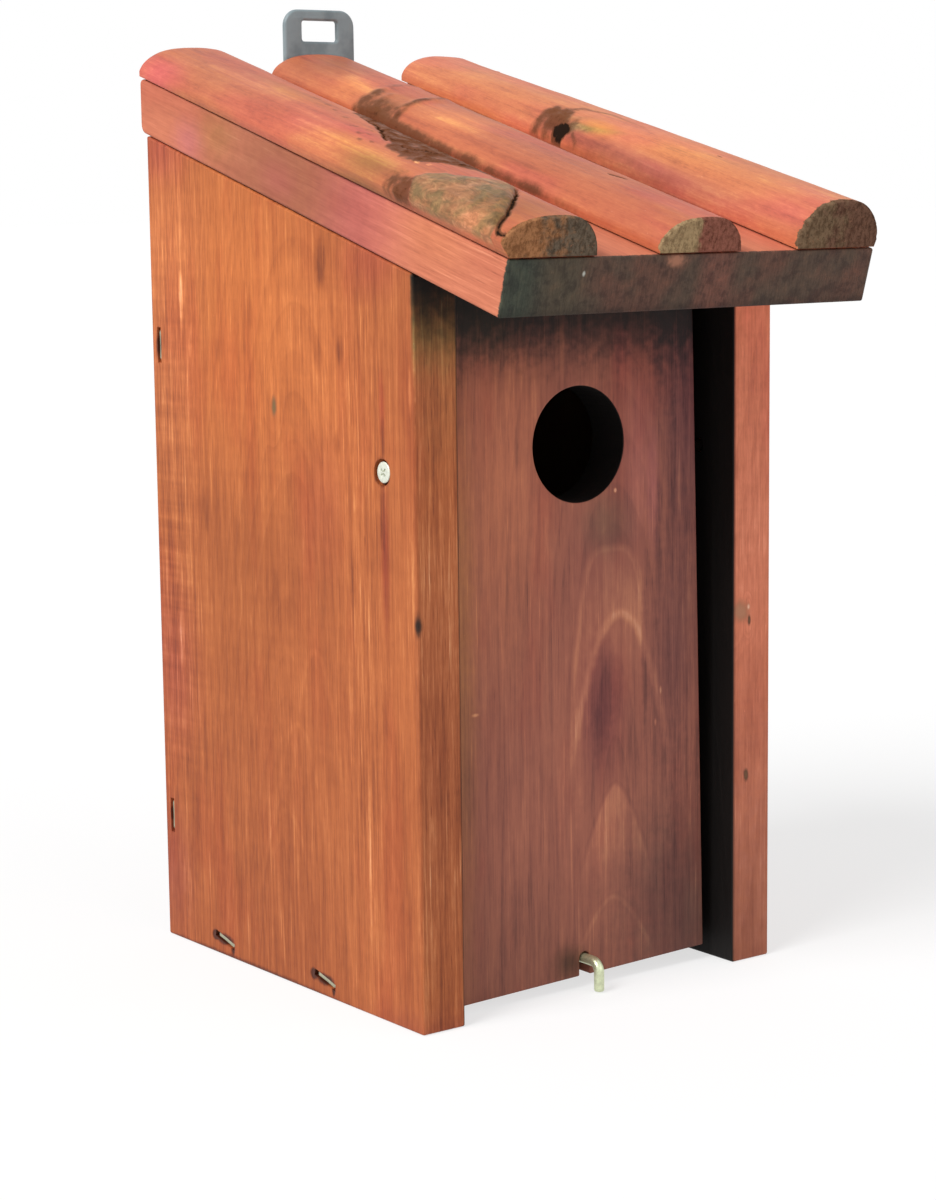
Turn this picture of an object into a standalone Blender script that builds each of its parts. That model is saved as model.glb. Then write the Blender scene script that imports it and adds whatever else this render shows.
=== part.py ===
"""Bird nest box: a front that swings on two screws, and a roof of half-round logs.

Metres, +Z up, front towards -Y. The origin is on the underside of the floor board, under the
middle of the side boards. The sides hold the back, the floor and the front between them. The back
and the floor are stapled in. The front hangs on two screws, and a bent wire hook holds its foot.
"""
import bpy
import bmesh
from math import atan2, cos, pi, radians, sin, tan
from mathutils import Matrix, Vector

# Box
box_width = 0.125               # over both side boards
side_depth = 0.1323             # front edge to back edge of a side board
side_front_height = 0.2024      # underside of the roof over the sides' front edges
board_thickness = 0.014         # sides, back, floor and front
back_proud = 0.003              # the back stands this far out behind the sides
board_arris = 0.0006            # width of the softened edges
seat_gap = 0.0003               # between pieces that touch
overrun = 0.002                 # cutters run this far past the wood

# Front
front_play = 0.0095             # between the front and both sides together
front_shift = 0.0005            # middle of its foot, right of the box's middle
front_lean_share = 0.022        # it hangs this much out of plumb, to the left going up
front_recess = 0.008            # behind the sides' front edges
front_foot_rise = 0.0035        # above the sides' bottom edges
front_head_gap = 0.0021         # under the roof, in the middle of the top edge
entrance_diameter = 0.032
entrance_drop = 0.0486          # from the top edge to the middle of the hole
entrance_shift = -0.0014        # from the middle of the box

# Screws that the front swings on
pivot_drop = 0.0525             # from the front's top edge to the axis
pivot_bite = 0.0115             # least length in the front's edge
pivot_head_diameter = 0.0068
pivot_head_rim = 0.0006
pivot_shank_diameter = 0.0035
pivot_head_sink = 0.0003        # under the face of the side

# Hook in the floor's front edge, and the slot that it stands in
hook_wire = 0.0029
hook_height = 0.0085            # axis above the underside of the floor
hook_shift = -0.0003            # from the middle of the box
hook_standoff = 0.0063          # axis of its arm, in front of the front panel's face
hook_bend_radius = 0.0026
hook_arm = 0.0082               # from the shank's axis to the arm's end
hook_bite = 0.014               # length in the floor
slot_clearance = 0.0004         # round the hook, in the front's slot
slot_round_share = 0.98         # of half the slot's width, at its closed end

# Roof
roof_pitch = radians(16)
roof_thickness = 0.015
roof_overhang = 0.0364          # in front of the sides
roof_rear_round = 0.003         # lower rear edge
roof_rear_top_round = 0.0015

# Half-round logs on the roof. A crest share of 0 puts the crest halfway across, 1 at the right edge.
# A bulge is how far the outer flank stands out past the side of the roof board at the eave.
left_log_front_width = 0.028
left_log_rear_width = 0.035
left_log_front_height = 0.0105
left_log_rear_height = 0.0085
left_log_crest_share = 0.15
left_log_bulge = 0.0026
middle_log_front_width = 0.028
middle_log_rear_width = 0.033
middle_log_front_height = 0.0091
middle_log_rear_height = 0.0074
middle_log_crest_share = 0.13
right_log_front_width = 0.0285
right_log_rear_width = 0.031
right_log_front_height = 0.013
right_log_rear_height = 0.0078
right_log_crest_share = 0.05
right_log_bulge = 0.0008
log_edge = 0.0012               # edge that the round starts from, over the flat underside
log_swell_share = 0.03          # extra height halfway along
arch_power_share = 2.5          # shape of the round: higher is flatter on top
arch_root_share = 0.58          # shape of the round: lower is steeper at the edges

# Nails through the logs
nail_shank = 0.0015
nail_head = 0.0025
nail_head_height = 0.0007
nail_head_sink = 0.0002
nail_bite = 0.014               # length in the board under the roof
nail_end_distance = 0.042       # first nail to the eave, along the slope
middle_nail_shift = -0.007      # from the middle of its log, clear of the hanger's screws
middle_nail_share = 0.7         # of the roof board's thickness, where nothing is under it

# Staples
staple_crown = 0.0098
staple_wire = 0.0014
staple_wire_height = 0.0011
staple_bite = 0.012             # length in the second board
staple_sink = 0.0004            # under the face of the side
back_staple_low = 0.0376        # middle of the crown, above the side's foot
back_staple_high = 0.1792
floor_staple_share = 0.34       # height of the crown's middle, of the floor's thickness
floor_staple_tilt = radians(14)
floor_staple_rear = 0.0324      # middle of the crown, in front of the sides' back edges
floor_staple_front = 0.047      # middle of the crown, behind the sides' front edges

# Hanger plate
hanger_width = 0.0254
hanger_thickness = 0.002
hanger_rise = 0.0212            # above the roof board's rear edge
hanger_tail = 0.036             # below the roof board's rear edge
hanger_shift = 0.0015           # from the middle of the box
hanger_corner = 0.005
hanger_foot_corner = 0.0015
hanger_arris = 0.0005
hanger_slot_width = 0.0128
hanger_slot_height = 0.0062
hanger_slot_drop = 0.0064       # from the top of the plate to the middle of the slot
hanger_slot_corner = 0.0009
hanger_screw_edge = 0.009       # lower screw to the plate's foot
hanger_screw_spacing = 0.0165
hanger_screw_head = 0.0062
hanger_screw_rim = 0.0003
hanger_screw_shank = 0.003
hanger_screw_bite_share = 0.7   # of the back's thickness

# Counts
round_steps = 24
hole_steps = 48
corner_steps = 5
arch_steps = 18
log_sections = 7
arris_segments = 2
wire_steps = 3
weld_distance = 0.00001
sharp_angle = radians(40)       # edges sharper than this are softened, or shaded as edges
flat_angle = radians(1)         # faces nearer than this to one plane become one

# Places that follow from the sizes above
side_outside = box_width / 2
side_inside = side_outside - board_thickness
sides_front = -side_depth / 2
sides_back = side_depth / 2
back_rear = sides_back + back_proud
back_front = back_rear - board_thickness
front_width = 2 * side_inside - front_play
front_face = sides_front + front_recess
front_rear = front_face + board_thickness
front_middle = (front_face + front_rear) / 2
eave = sides_front - roof_overhang
roof_rear = back_rear
slope = tan(roof_pitch)


def roof_underside(y):
    """Height of the roof board's underside at a place from front to back."""
    return side_front_height + (y - sides_front) * slope


front_head = roof_underside(front_face) - front_head_gap
pivot_height = front_head - pivot_drop
entrance_height = front_head - entrance_drop
roof_length = (roof_rear - eave) / cos(roof_pitch)
roof_top_rear = roof_underside(roof_rear) + roof_thickness / cos(roof_pitch)
hanger_front = back_rear + seat_gap
hanger_rear = hanger_front + hanger_thickness
hanger_top = roof_top_rear + hanger_rise
hanger_foot = roof_underside(roof_rear) - hanger_tail

# Directions: each frame's columns are the outline's two axes and the way it is thickened
ACROSS = Vector((1, 0, 0))
BACKWARD = Vector((0, 1, 0))
UP = Vector((0, 0, 1))


def start_empty_scene():
    for item in list(bpy.data.objects):
        bpy.data.objects.remove(item, do_unlink=True)


def make_collection(name):
    collection = bpy.data.collections.new(name)
    bpy.context.scene.collection.children.link(collection)
    return collection


def make_finish(name, colour, roughness, metallic=0.0):
    """One Principled material for one piece."""
    finish = bpy.data.materials.new(name + "_finish")
    finish.use_nodes = True
    shader = finish.node_tree.nodes["Principled BSDF"]
    shader.inputs["Base Color"].default_value = (*colour, 1.0)
    shader.inputs["Roughness"].default_value = roughness
    shader.inputs["Metallic"].default_value = metallic
    finish.diffuse_color = (*colour, 1.0)
    return finish


STAINED_PINE = (0.42, 0.15, 0.075)
SHADED_PINE = (0.25, 0.10, 0.065)
LOG_PINE = (0.56, 0.20, 0.10)
GREY_PLASTIC = (0.16, 0.18, 0.19)
ZINC = (0.62, 0.64, 0.58)

start_empty_scene()
pieces = make_collection("bird_nest_box")
cutters = make_collection("cutters")


def add_object(name, data, collection):
    item = bpy.data.objects.new(name, data)
    collection.objects.link(item)
    if collection is cutters:
        item.hide_render = True
        item.display_type = "WIRE"
    return item


def paint(item, colour, roughness, metallic=0.0):
    item.data.materials.append(make_finish(item.name, colour, roughness, metallic))


def frame(first, second, place=(0, 0, 0)):
    """A placement whose local X and Y run along two given directions."""
    third = first.cross(second)
    turn = Matrix((first, second, third)).transposed().to_4x4()
    return Matrix.Translation(place) @ turn


def rounded_outline(corners):
    """Points of a closed outline from (x, y, radius) corners, in order round it."""
    points = []
    for index, (x, y, radius) in enumerate(corners):
        corner = Vector((x, y))
        before = Vector(corners[index - 1][:2])
        after = Vector(corners[(index + 1) % len(corners)][:2])
        if radius == 0:
            points.append(corner)
            continue
        inward = (before - corner).normalized()
        outward = (after - corner).normalized()
        half_angle = inward.angle(outward) / 2
        reach = radius / tan(half_angle)
        centre = corner + (inward + outward).normalized() * (radius / sin(half_angle))
        first = corner + inward * reach - centre
        last = corner + outward * reach - centre
        start = atan2(first.y, first.x)
        sweep = (atan2(last.y, last.x) - start + pi) % (2 * pi) - pi
        for step in range(corner_steps + 1):
            angle = start + sweep * step / corner_steps
            points.append(centre + Vector((cos(angle), sin(angle))) * radius)
    return points


def circle_outline(x, y, diameter, steps):
    turn = [2 * pi * step / steps for step in range(steps)]
    return [Vector((x + cos(angle) * diameter / 2, y + sin(angle) * diameter / 2)) for angle in turn]


def mesh_from_curve(name, curve_object, collection):
    """The curve as a closed mesh object with the same placement."""
    evaluated = curve_object.evaluated_get(bpy.context.evaluated_depsgraph_get())
    mesh = bpy.data.meshes.new_from_object(evaluated)
    mesh.name = name
    shape = bmesh.new()
    shape.from_mesh(mesh)
    bmesh.ops.remove_doubles(shape, verts=shape.verts, dist=weld_distance)
    bmesh.ops.dissolve_limit(shape, angle_limit=flat_angle, verts=shape.verts, edges=shape.edges)
    bmesh.ops.recalc_face_normals(shape, faces=shape.faces)
    shape.to_mesh(mesh)
    shape.free()
    placement = curve_object.matrix_world.copy()
    bpy.data.objects.remove(curve_object, do_unlink=True)
    item = add_object(name, mesh, collection)
    item.matrix_world = placement
    return item


def flat_piece(name, outlines, thickness, placement, collection=pieces):
    """A board or plate: closed outlines, the first with the others as holes, made thick."""
    curve = bpy.data.curves.new(name + "_outline", "CURVE")
    curve.dimensions = "2D"
    curve.fill_mode = "BOTH"
    curve.extrude = thickness / 2
    for outline in outlines:
        spline = curve.splines.new("POLY")
        spline.points.add(len(outline) - 1)
        spline.use_cyclic_u = True
        for point, place in zip(spline.points, outline):
            point.co = (place[0], place[1], 0, 1)
    drawn = bpy.data.objects.new(name + "_outline", curve)
    bpy.context.scene.collection.objects.link(drawn)
    drawn.matrix_world = placement
    return mesh_from_curve(name, drawn, collection)


def box_piece(name, low, high, collection=pieces):
    """A plain board between two opposite corners."""
    low, high = Vector(low), Vector(high)
    size = high - low
    mesh = bpy.data.meshes.new(name)
    shape = bmesh.new()
    bmesh.ops.create_cube(shape, size=1)
    bmesh.ops.scale(shape, vec=size, verts=shape.verts)
    shape.to_mesh(mesh)
    shape.free()
    item = add_object(name, mesh, collection)
    item.location = (low + high) / 2
    return item


def soften(item, width):
    """Small bevel on the sharp edges."""
    bevel = item.modifiers.new("arris", "BEVEL")
    bevel.width = width
    bevel.segments = arris_segments
    bevel.limit_method = "ANGLE"
    bevel.angle_limit = sharp_angle


def cut(item, *tools):
    for tool in tools:
        boolean = item.modifiers.new("cut_" + tool.name, "BOOLEAN")
        boolean.operation = "DIFFERENCE"
        boolean.solver = "EXACT"
        boolean.object = tool


def turned_piece(name, profile, placement, collection=pieces):
    """A round piece from (radius, height) points, top to bottom on its outer side."""
    mesh = bpy.data.meshes.new(name)
    points = [(radius, 0, height) for radius, height in profile]
    mesh.from_pydata(points, [(index, index + 1) for index in range(len(points) - 1)], [])
    item = add_object(name, mesh, collection)
    item.matrix_world = placement
    turn = item.modifiers.new("turn", "SCREW")
    turn.steps = round_steps
    turn.render_steps = round_steps
    turn.use_merge_vertices = True
    turn.merge_threshold = weld_distance
    turn.use_smooth_shade = True
    return item


def head_out(place, outward):
    """A placement whose local +Z points out of the head of a screw or nail."""
    return Matrix.Translation(place) @ outward.to_track_quat("Z", "Y").to_matrix().to_4x4()


def countersunk_profile(head, rim, shank, length, grow=0, lift=0):
    """Half outline of a countersunk screw, or of its pocket when it is grown."""
    point = shank / 2
    return [
        (0, lift),
        (head / 2 + grow, lift),
        (head / 2 + grow, -rim - grow),
        (shank / 2 + grow, -rim - grow - (head - shank) / 2),
        (shank / 2 + grow, -length + point - grow),
        (0, -length - grow),
    ]


def nail_profile(length, grow=0, lift=0):
    """Half outline of a flat-headed nail, or of its pocket when it is grown."""
    return [
        (0, lift),
        (nail_head / 2 + grow, lift),
        (nail_head / 2 + grow, -nail_head_height - grow),
        (nail_shank / 2 + grow, -nail_head_height - grow),
        (nail_shank / 2 + grow, -length + nail_shank - grow),
        (0, -length - grow),
    ]


def staple_outline(leg, grow=0, lift=0):
    """Crown and two legs, seen flat: X along the crown, Y out of the wood."""
    outer = staple_crown / 2 + grow
    inner = staple_crown / 2 - staple_wire_height - grow
    under = -staple_wire_height - grow
    foot = -leg - grow
    return [
        (-outer, lift), (-outer, foot), (-inner, foot), (-inner, under),
        (inner, under), (inner, foot), (outer, foot), (outer, lift),
    ]


def parent_in_place(item, holder):
    item.parent = holder
    item.matrix_parent_inverse = Matrix.Translation(holder.location).inverted()


# Side boards: an outline from back foot round to back head, with the top on the roof's slope
def make_side(name, hand):
    under_roof = seat_gap / cos(roof_pitch)
    outline = [
        (sides_back, 0),
        (sides_front, 0),
        (sides_front, roof_underside(sides_front) - under_roof),
        (sides_back, roof_underside(sides_back) - under_roof),
    ]
    middle = hand * (side_outside - board_thickness / 2)
    placement = frame(BACKWARD, UP, (middle, 0, 0))
    side = flat_piece(name, [outline], board_thickness, placement)
    soften(side, board_arris)
    paint(side, STAINED_PINE, 0.62)
    return side


def make_back():
    under_roof = seat_gap / cos(roof_pitch)
    outline = [
        (back_rear, 0),
        (back_front, 0),
        (back_front, roof_underside(back_front) - under_roof),
        (back_rear, roof_underside(back_rear) - under_roof),
    ]
    width = 2 * (side_inside - seat_gap)
    back = flat_piece("back_panel", [outline], width, frame(BACKWARD, UP))
    soften(back, board_arris)
    paint(back, STAINED_PINE, 0.62)
    return back


def make_floor():
    reach = side_inside - seat_gap
    low = (-reach, front_rear + seat_gap, 0)
    high = (reach, back_front - seat_gap, board_thickness)
    board = box_piece("floor_board", low, high)
    soften(board, board_arris)
    paint(board, STAINED_PINE, 0.62)
    return board


def lean(across, height):
    """A place on the front panel, with the panel's lean to the left going up."""
    x = front_shift + across - front_lean_share * (height - front_foot_rise)
    return x, height + front_lean_share * across


def make_front():
    """The front, with its entrance hole and the slot that is open at the foot."""
    half = front_width / 2
    slot_half = hook_wire / 2 + slot_clearance
    slot_left, slot_right = hook_shift - slot_half, hook_shift + slot_half
    slot_top = hook_height + slot_half
    foot = front_foot_rise + front_lean_share * (hook_shift - front_shift)
    corners = [
        (*lean(-half, front_foot_rise), 0),
        (slot_left, foot, 0),
        (slot_left, slot_top, slot_half * slot_round_share),
        (slot_right, slot_top, slot_half * slot_round_share),
        (slot_right, foot, 0),
        (*lean(half, front_foot_rise), 0),
        (*lean(half, front_head), 0),
        (*lean(-half, front_head), 0),
    ]
    hole = circle_outline(entrance_shift, entrance_height, entrance_diameter, hole_steps)
    placement = frame(ACROSS, UP, (0, front_middle, 0))
    front = flat_piece("front_panel", [rounded_outline(corners), hole], board_thickness, placement)
    soften(front, board_arris)
    paint(front, SHADED_PINE, 0.66)
    return front


def front_edge(hand):
    """Where the front's edge is at the height of the swing axis."""
    return lean(hand * front_width / 2, pivot_height)[0]


def make_pivot_screw(name, hand):
    """Screw through a side into the front's edge, and its pocket."""
    widest_gap = side_inside - min(abs(front_edge(1)), abs(front_edge(-1)))
    length = board_thickness + widest_gap + pivot_bite - pivot_head_sink
    outward = hand * ACROSS
    seat = Vector((hand * (side_outside - pivot_head_sink), front_middle, pivot_height))
    sizes = (pivot_head_diameter, pivot_head_rim, pivot_shank_diameter, length)
    screw = turned_piece(name, countersunk_profile(*sizes), head_out(seat, outward))
    paint(screw, ZINC, 0.35, 1.0)
    pocket_profile = countersunk_profile(*sizes, grow=seat_gap, lift=overrun)
    pocket = turned_piece(name + "_pocket", pocket_profile, head_out(seat, outward), cutters)
    return screw, pocket


def make_hook():
    """Shank out of the floor's edge, a bend, and an arm that hangs along the slot."""
    arm_place = front_face - hook_standoff
    shank_end = front_rear + seat_gap + hook_bite
    route = [(shank_end, 0), (arm_place + hook_bend_radius, 0)]
    for step in range(1, corner_steps + 1):
        angle = pi / 2 * step / corner_steps
        bend = (1 - sin(angle), cos(angle) - 1)
        route.append((arm_place + hook_bend_radius * bend[0], hook_bend_radius * bend[1]))
    route.append((arm_place, -hook_arm))
    curve = bpy.data.curves.new("latch_hook", "CURVE")
    curve.dimensions = "3D"
    curve.bevel_depth = hook_wire / 2
    curve.bevel_resolution = wire_steps
    curve.use_fill_caps = True
    spline = curve.splines.new("POLY")
    spline.points.add(len(route) - 1)
    for point, (y, height) in zip(spline.points, route):
        point.co = (0, y, height, 1)
    hook = add_object("latch_hook", curve, pieces)
    hook.location = (hook_shift, 0, hook_height)
    paint(hook, ZINC, 0.3, 1.0)
    bore = hook_wire + 2 * seat_gap
    depth = shank_end + seat_gap
    start = front_rear + seat_gap - overrun
    profile = [(0, -start), (bore / 2, -start), (bore / 2, -depth), (0, -depth)]
    seat = head_out((hook_shift, 0, hook_height), -BACKWARD)
    return hook, turned_piece("latch_hook_bore", profile, seat, cutters)


def make_staple(name, hand, crown_middle, tilt):
    """Staple from a side's face into the board behind it, and its pocket."""
    leg = board_thickness + staple_bite - staple_sink
    x = hand * (side_outside - staple_sink)
    outward = hand * ACROSS
    crown = BACKWARD * cos(tilt) + UP * sin(tilt)
    placement = frame(crown, outward, (x, *crown_middle))
    staple = flat_piece(name, [staple_outline(leg)], staple_wire, placement)
    paint(staple, ZINC, 0.4, 1.0)
    grown = staple_outline(leg, grow=seat_gap, lift=overrun)
    thickness = staple_wire + 2 * seat_gap
    return staple, flat_piece(name + "_pocket", [grown], thickness, placement, cutters)


# The roof and its logs stand in the roof's own frame: X across, Y up the slope, Z off the board
roof_frame = bpy.data.objects.new("roof_frame", None)
roof_frame.location = (0, eave, roof_underside(eave))
roof_frame.rotation_euler = (roof_pitch, 0, 0)
pieces.objects.link(roof_frame)


def plumb(along, off):
    """A place up the slope, moved so that places off the board stay plumb over each other."""
    return along + off * slope


def make_roof_board():
    corners = [
        (0, 0, 0),
        (roof_length, 0, roof_rear_round),
        (plumb(roof_length, roof_thickness), roof_thickness, roof_rear_top_round),
        (0, roof_thickness, 0),
    ]
    board = flat_piece("roof_board", [rounded_outline(corners)], box_width, frame(BACKWARD, UP))
    board.parent = roof_frame
    soften(board, board_arris)
    paint(board, STAINED_PINE, 0.6)
    return board


class Log:
    """A tapered half-round log, which stands out past the roof board's side by its bulge."""

    def __init__(self, name, side, widths, heights, crest_share, bulge=0):
        self.name, self.side = name, side
        self.widths, self.heights = widths, heights
        self.crest_share, self.bulge = crest_share, bulge

    def span(self, along):
        """Left and right edge of the flat underside, and the bulge there, up the slope."""
        share = along / roof_length
        width = self.widths[0] + (self.widths[1] - self.widths[0]) * share
        middle = self.side * (box_width - width) / 2
        return middle - width / 2, middle + width / 2, self.bulge * (1 - share)

    def crest(self, along):
        """Height of the round, from the eave's to the rear's with a slight swell between."""
        share = along / roof_length
        height = self.heights[0] + (self.heights[1] - self.heights[0]) * share
        return height * (1 + log_swell_share * sin(pi * share))

    def round_span(self, along):
        """Left and right end of the round, each as its place across and its height."""
        left, right, bulge = self.span(along)
        left_bulge, right_bulge = max(-self.side, 0) * bulge, max(self.side, 0) * bulge
        return (left - left_bulge, log_edge + left_bulge), (right + right_bulge, log_edge + right_bulge)

    def off_board(self, x, along):
        """Height of the log's skin over its flat underside."""
        (left, left_edge), (right, right_edge) = self.round_span(along)
        middle, half = (left + right) / 2, (right - left) / 2
        crest_x = middle + half * self.crest_share
        reach = right - crest_x if x > crest_x else crest_x - left
        across_share = min(abs(x - crest_x) / reach, 1)
        arch = (1 - across_share ** arch_power_share) ** arch_root_share
        edge = left_edge + (right_edge - left_edge) * (x - left) / (right - left)
        return edge + (self.crest(along) - edge) * arch

    def section(self, along):
        """Points of the section from the underside's left edge over the round to its right edge."""
        left, right, _ = self.span(along)
        (round_left, _), (round_right, _) = self.round_span(along)
        middle, half = (round_left + round_right) / 2, (round_right - round_left) / 2
        points = [(left, 0)]
        for step in range(arch_steps + 1):
            x = middle - half * cos(pi * step / arch_steps)
            points.append((x, self.off_board(x, along)))
        return [*points, (right, 0)]


LOGS = (
    Log("left", -1, (left_log_front_width, left_log_rear_width),
        (left_log_front_height, left_log_rear_height), left_log_crest_share, left_log_bulge),
    Log("middle", 0, (middle_log_front_width, middle_log_rear_width),
        (middle_log_front_height, middle_log_rear_height), middle_log_crest_share),
    Log("right", 1, (right_log_front_width, right_log_rear_width),
        (right_log_front_height, right_log_rear_height), right_log_crest_share, right_log_bulge),
)
log_seat = roof_thickness + seat_gap


def make_log(log):
    """Loft between the eave's section and the rear section, which is cut plumb."""
    name = "roof_log_" + log.name
    shape = bmesh.new()
    rings = []
    for index in range(log_sections):
        along = roof_length * index / (log_sections - 1)
        last = index == log_sections - 1
        ring = []
        for x, off in log.section(along):
            place = plumb(along, off + log_seat) if last else along
            ring.append(shape.verts.new((x, place, off + log_seat)))
        rings.append(ring)
    for near, far in zip(rings, rings[1:]):
        for index in range(len(near)):
            following = (index + 1) % len(near)
            shape.faces.new((near[index], near[following], far[following], far[index]))
    shape.faces.new(rings[0])
    shape.faces.new(reversed(rings[-1]))
    bmesh.ops.recalc_face_normals(shape, faces=shape.faces)
    mesh = bpy.data.meshes.new(name)
    shape.to_mesh(mesh)
    shape.free()
    mesh.shade_smooth()
    mesh.set_sharp_from_angle(angle=sharp_angle)
    item = add_object(name, mesh, pieces)
    item.parent = roof_frame
    paint(item, LOG_PINE, 0.55)
    return item


def make_nail(name, log, x, along, length_below):
    """Nail square to the roof through a log, and its pocket."""
    top = log_seat + log.off_board(x, along) - nail_head_sink
    length = top - seat_gap + length_below
    placement = Matrix.Translation((x, along, top))
    nail = turned_piece(name, nail_profile(length), placement)
    pocket_profile = nail_profile(length, grow=seat_gap, lift=overrun)
    pocket = turned_piece(name + "_pocket", pocket_profile, placement, cutters)
    for item in (nail, pocket):
        item.parent = roof_frame
    paint(nail, ZINC, 0.4, 1.0)
    return pocket


def make_hanger():
    """Plate with a slot, rounded at the top, behind the roof and the back."""
    half = hanger_width / 2
    left, right = hanger_shift - half, hanger_shift + half
    outline = rounded_outline([
        (left, hanger_foot, hanger_foot_corner),
        (right, hanger_foot, hanger_foot_corner),
        (right, hanger_top, hanger_corner),
        (left, hanger_top, hanger_corner),
    ])
    slot_middle = hanger_top - hanger_slot_drop
    slot_half, slot_rise = hanger_slot_width / 2, hanger_slot_height / 2
    slot = rounded_outline([
        (hanger_shift - slot_half, slot_middle - slot_rise, hanger_slot_corner),
        (hanger_shift + slot_half, slot_middle - slot_rise, hanger_slot_corner),
        (hanger_shift + slot_half, slot_middle + slot_rise, hanger_slot_corner),
        (hanger_shift - slot_half, slot_middle + slot_rise, hanger_slot_corner),
    ])
    placement = frame(ACROSS, UP, (0, (hanger_front + hanger_rear) / 2, 0))
    plate = flat_piece("hanger_plate", [outline, slot], hanger_thickness, placement)
    soften(plate, hanger_arris)
    paint(plate, GREY_PLASTIC, 0.5)
    return plate


def make_hanger_screw(name, height):
    length = hanger_thickness + seat_gap + board_thickness * hanger_screw_bite_share
    seat = head_out((hanger_shift, hanger_rear, height), BACKWARD)
    sizes = (hanger_screw_head, hanger_screw_rim, hanger_screw_shank, length)
    screw = turned_piece(name, countersunk_profile(*sizes), seat)
    paint(screw, ZINC, 0.35, 1.0)
    pocket_profile = countersunk_profile(*sizes, grow=seat_gap, lift=overrun)
    return turned_piece(name + "_pocket", pocket_profile, seat, cutters)


def build():
    sides = {-1: make_side("side_left", -1), 1: make_side("side_right", 1)}
    hands = {-1: "left", 1: "right"}
    back, floor_board, front = make_back(), make_floor(), make_front()
    roof_board = make_roof_board()

    front_axis = bpy.data.objects.new("front_axis", None)
    front_axis.location = (0, front_middle, pivot_height)
    pieces.objects.link(front_axis)
    parent_in_place(front, front_axis)

    for hand, side in sides.items():
        screw, pocket = make_pivot_screw("pivot_screw_" + hands[hand], hand)
        parent_in_place(screw, front_axis)
        cut(side, pocket)
        cut(front, pocket)

        back_middle = (back_front + back_rear) / 2
        for level, height in (("upper", back_staple_high), ("lower", back_staple_low)):
            name = f"back_staple_{hands[hand]}_{level}"
            _, pocket = make_staple(name, hand, (back_middle, height), pi / 2)
            cut(side, pocket)
            cut(back, pocket)

        floor_height = board_thickness * floor_staple_share
        floor_places = (("rear", sides_back - floor_staple_rear),
                        ("front", sides_front + floor_staple_front))
        for end, place in floor_places:
            name = f"floor_staple_{hands[hand]}_{end}"
            _, pocket = make_staple(name, hand, (place, floor_height), floor_staple_tilt)
            cut(side, pocket)
            cut(floor_board, pocket)

    _, bore = make_hook()
    cut(floor_board, bore)

    rear_nail = (back_front + back_rear) / 2 - eave
    rear_along = rear_nail / cos(roof_pitch) - log_seat * slope
    for log in LOGS:
        item = make_log(log)
        x = log.side * (side_outside - board_thickness / 2) if log.side else middle_nail_shift
        places = (("front", nail_end_distance), ("rear", rear_along))
        for end, along in places:
            if log.side:
                below, carrier = nail_bite, sides[log.side]
            elif end == "rear":
                below, carrier = nail_bite, back
            else:
                below, carrier = -roof_thickness * (1 - middle_nail_share), None
            pocket = make_nail(f"roof_nail_{log.name}_{end}", log, x, along, below)
            cut(item, pocket)
            cut(roof_board, pocket)
            if carrier:
                cut(carrier, pocket)

    plate = make_hanger()
    lower = hanger_foot + hanger_screw_edge
    for level, height in (("lower", lower), ("upper", lower + hanger_screw_spacing)):
        pocket = make_hanger_screw("hanger_screw_" + level, height)
        cut(plate, pocket)
        cut(back, pocket)


build()
bpy.context.view_layer.update()
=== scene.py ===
"""Looks of the bird nest box: stained pine boards, half-round logs, hanger, hook, screws and staples."""
from math import cos, exp, hypot, pi, radians, sin, sqrt, tan

import bmesh
import bpy
from mathutils import Matrix, Vector, noise


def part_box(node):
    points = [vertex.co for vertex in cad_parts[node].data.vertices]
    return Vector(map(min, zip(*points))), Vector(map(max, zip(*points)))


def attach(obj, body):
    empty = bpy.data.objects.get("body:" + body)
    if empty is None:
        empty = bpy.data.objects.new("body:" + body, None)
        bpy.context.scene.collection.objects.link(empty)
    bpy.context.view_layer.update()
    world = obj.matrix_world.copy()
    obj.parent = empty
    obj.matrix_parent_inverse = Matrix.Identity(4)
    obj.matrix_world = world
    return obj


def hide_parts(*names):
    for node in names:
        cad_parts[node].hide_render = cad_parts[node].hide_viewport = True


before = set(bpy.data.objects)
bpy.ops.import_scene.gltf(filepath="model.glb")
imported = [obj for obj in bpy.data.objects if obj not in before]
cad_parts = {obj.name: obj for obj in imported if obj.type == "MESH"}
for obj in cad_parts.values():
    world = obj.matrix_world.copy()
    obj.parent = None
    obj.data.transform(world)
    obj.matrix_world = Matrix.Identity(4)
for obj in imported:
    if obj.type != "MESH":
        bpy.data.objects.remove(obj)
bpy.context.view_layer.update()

MM = 0.001
FAR = 1000.0
ACROSS = Vector((1, 0, 0))
BACKWARD = Vector((0, 1, 0))
UP = Vector((0, 0, 1))

# Places read from the frame
roof_pitch = radians(16)
roof_low, roof_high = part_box("roof_board")
side_low, side_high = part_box("side_left")
hook_low, hook_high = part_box("latch_hook")
plate_low, plate_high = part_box("hanger_plate")
board_thickness = side_high.x - side_low.x
side_outside = -side_low.x
roof_thickness = 15 * MM
eave = roof_low.y + roof_thickness * sin(roof_pitch)
length_mm = (roof_high.y - eave) / cos(roof_pitch) / MM
eave_underside = Vector((0, eave, roof_low.z))
UP_SLOPE = Vector((0, cos(roof_pitch), sin(roof_pitch)))
OFF_ROOF = Vector((0, -sin(roof_pitch), cos(roof_pitch)))


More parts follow.
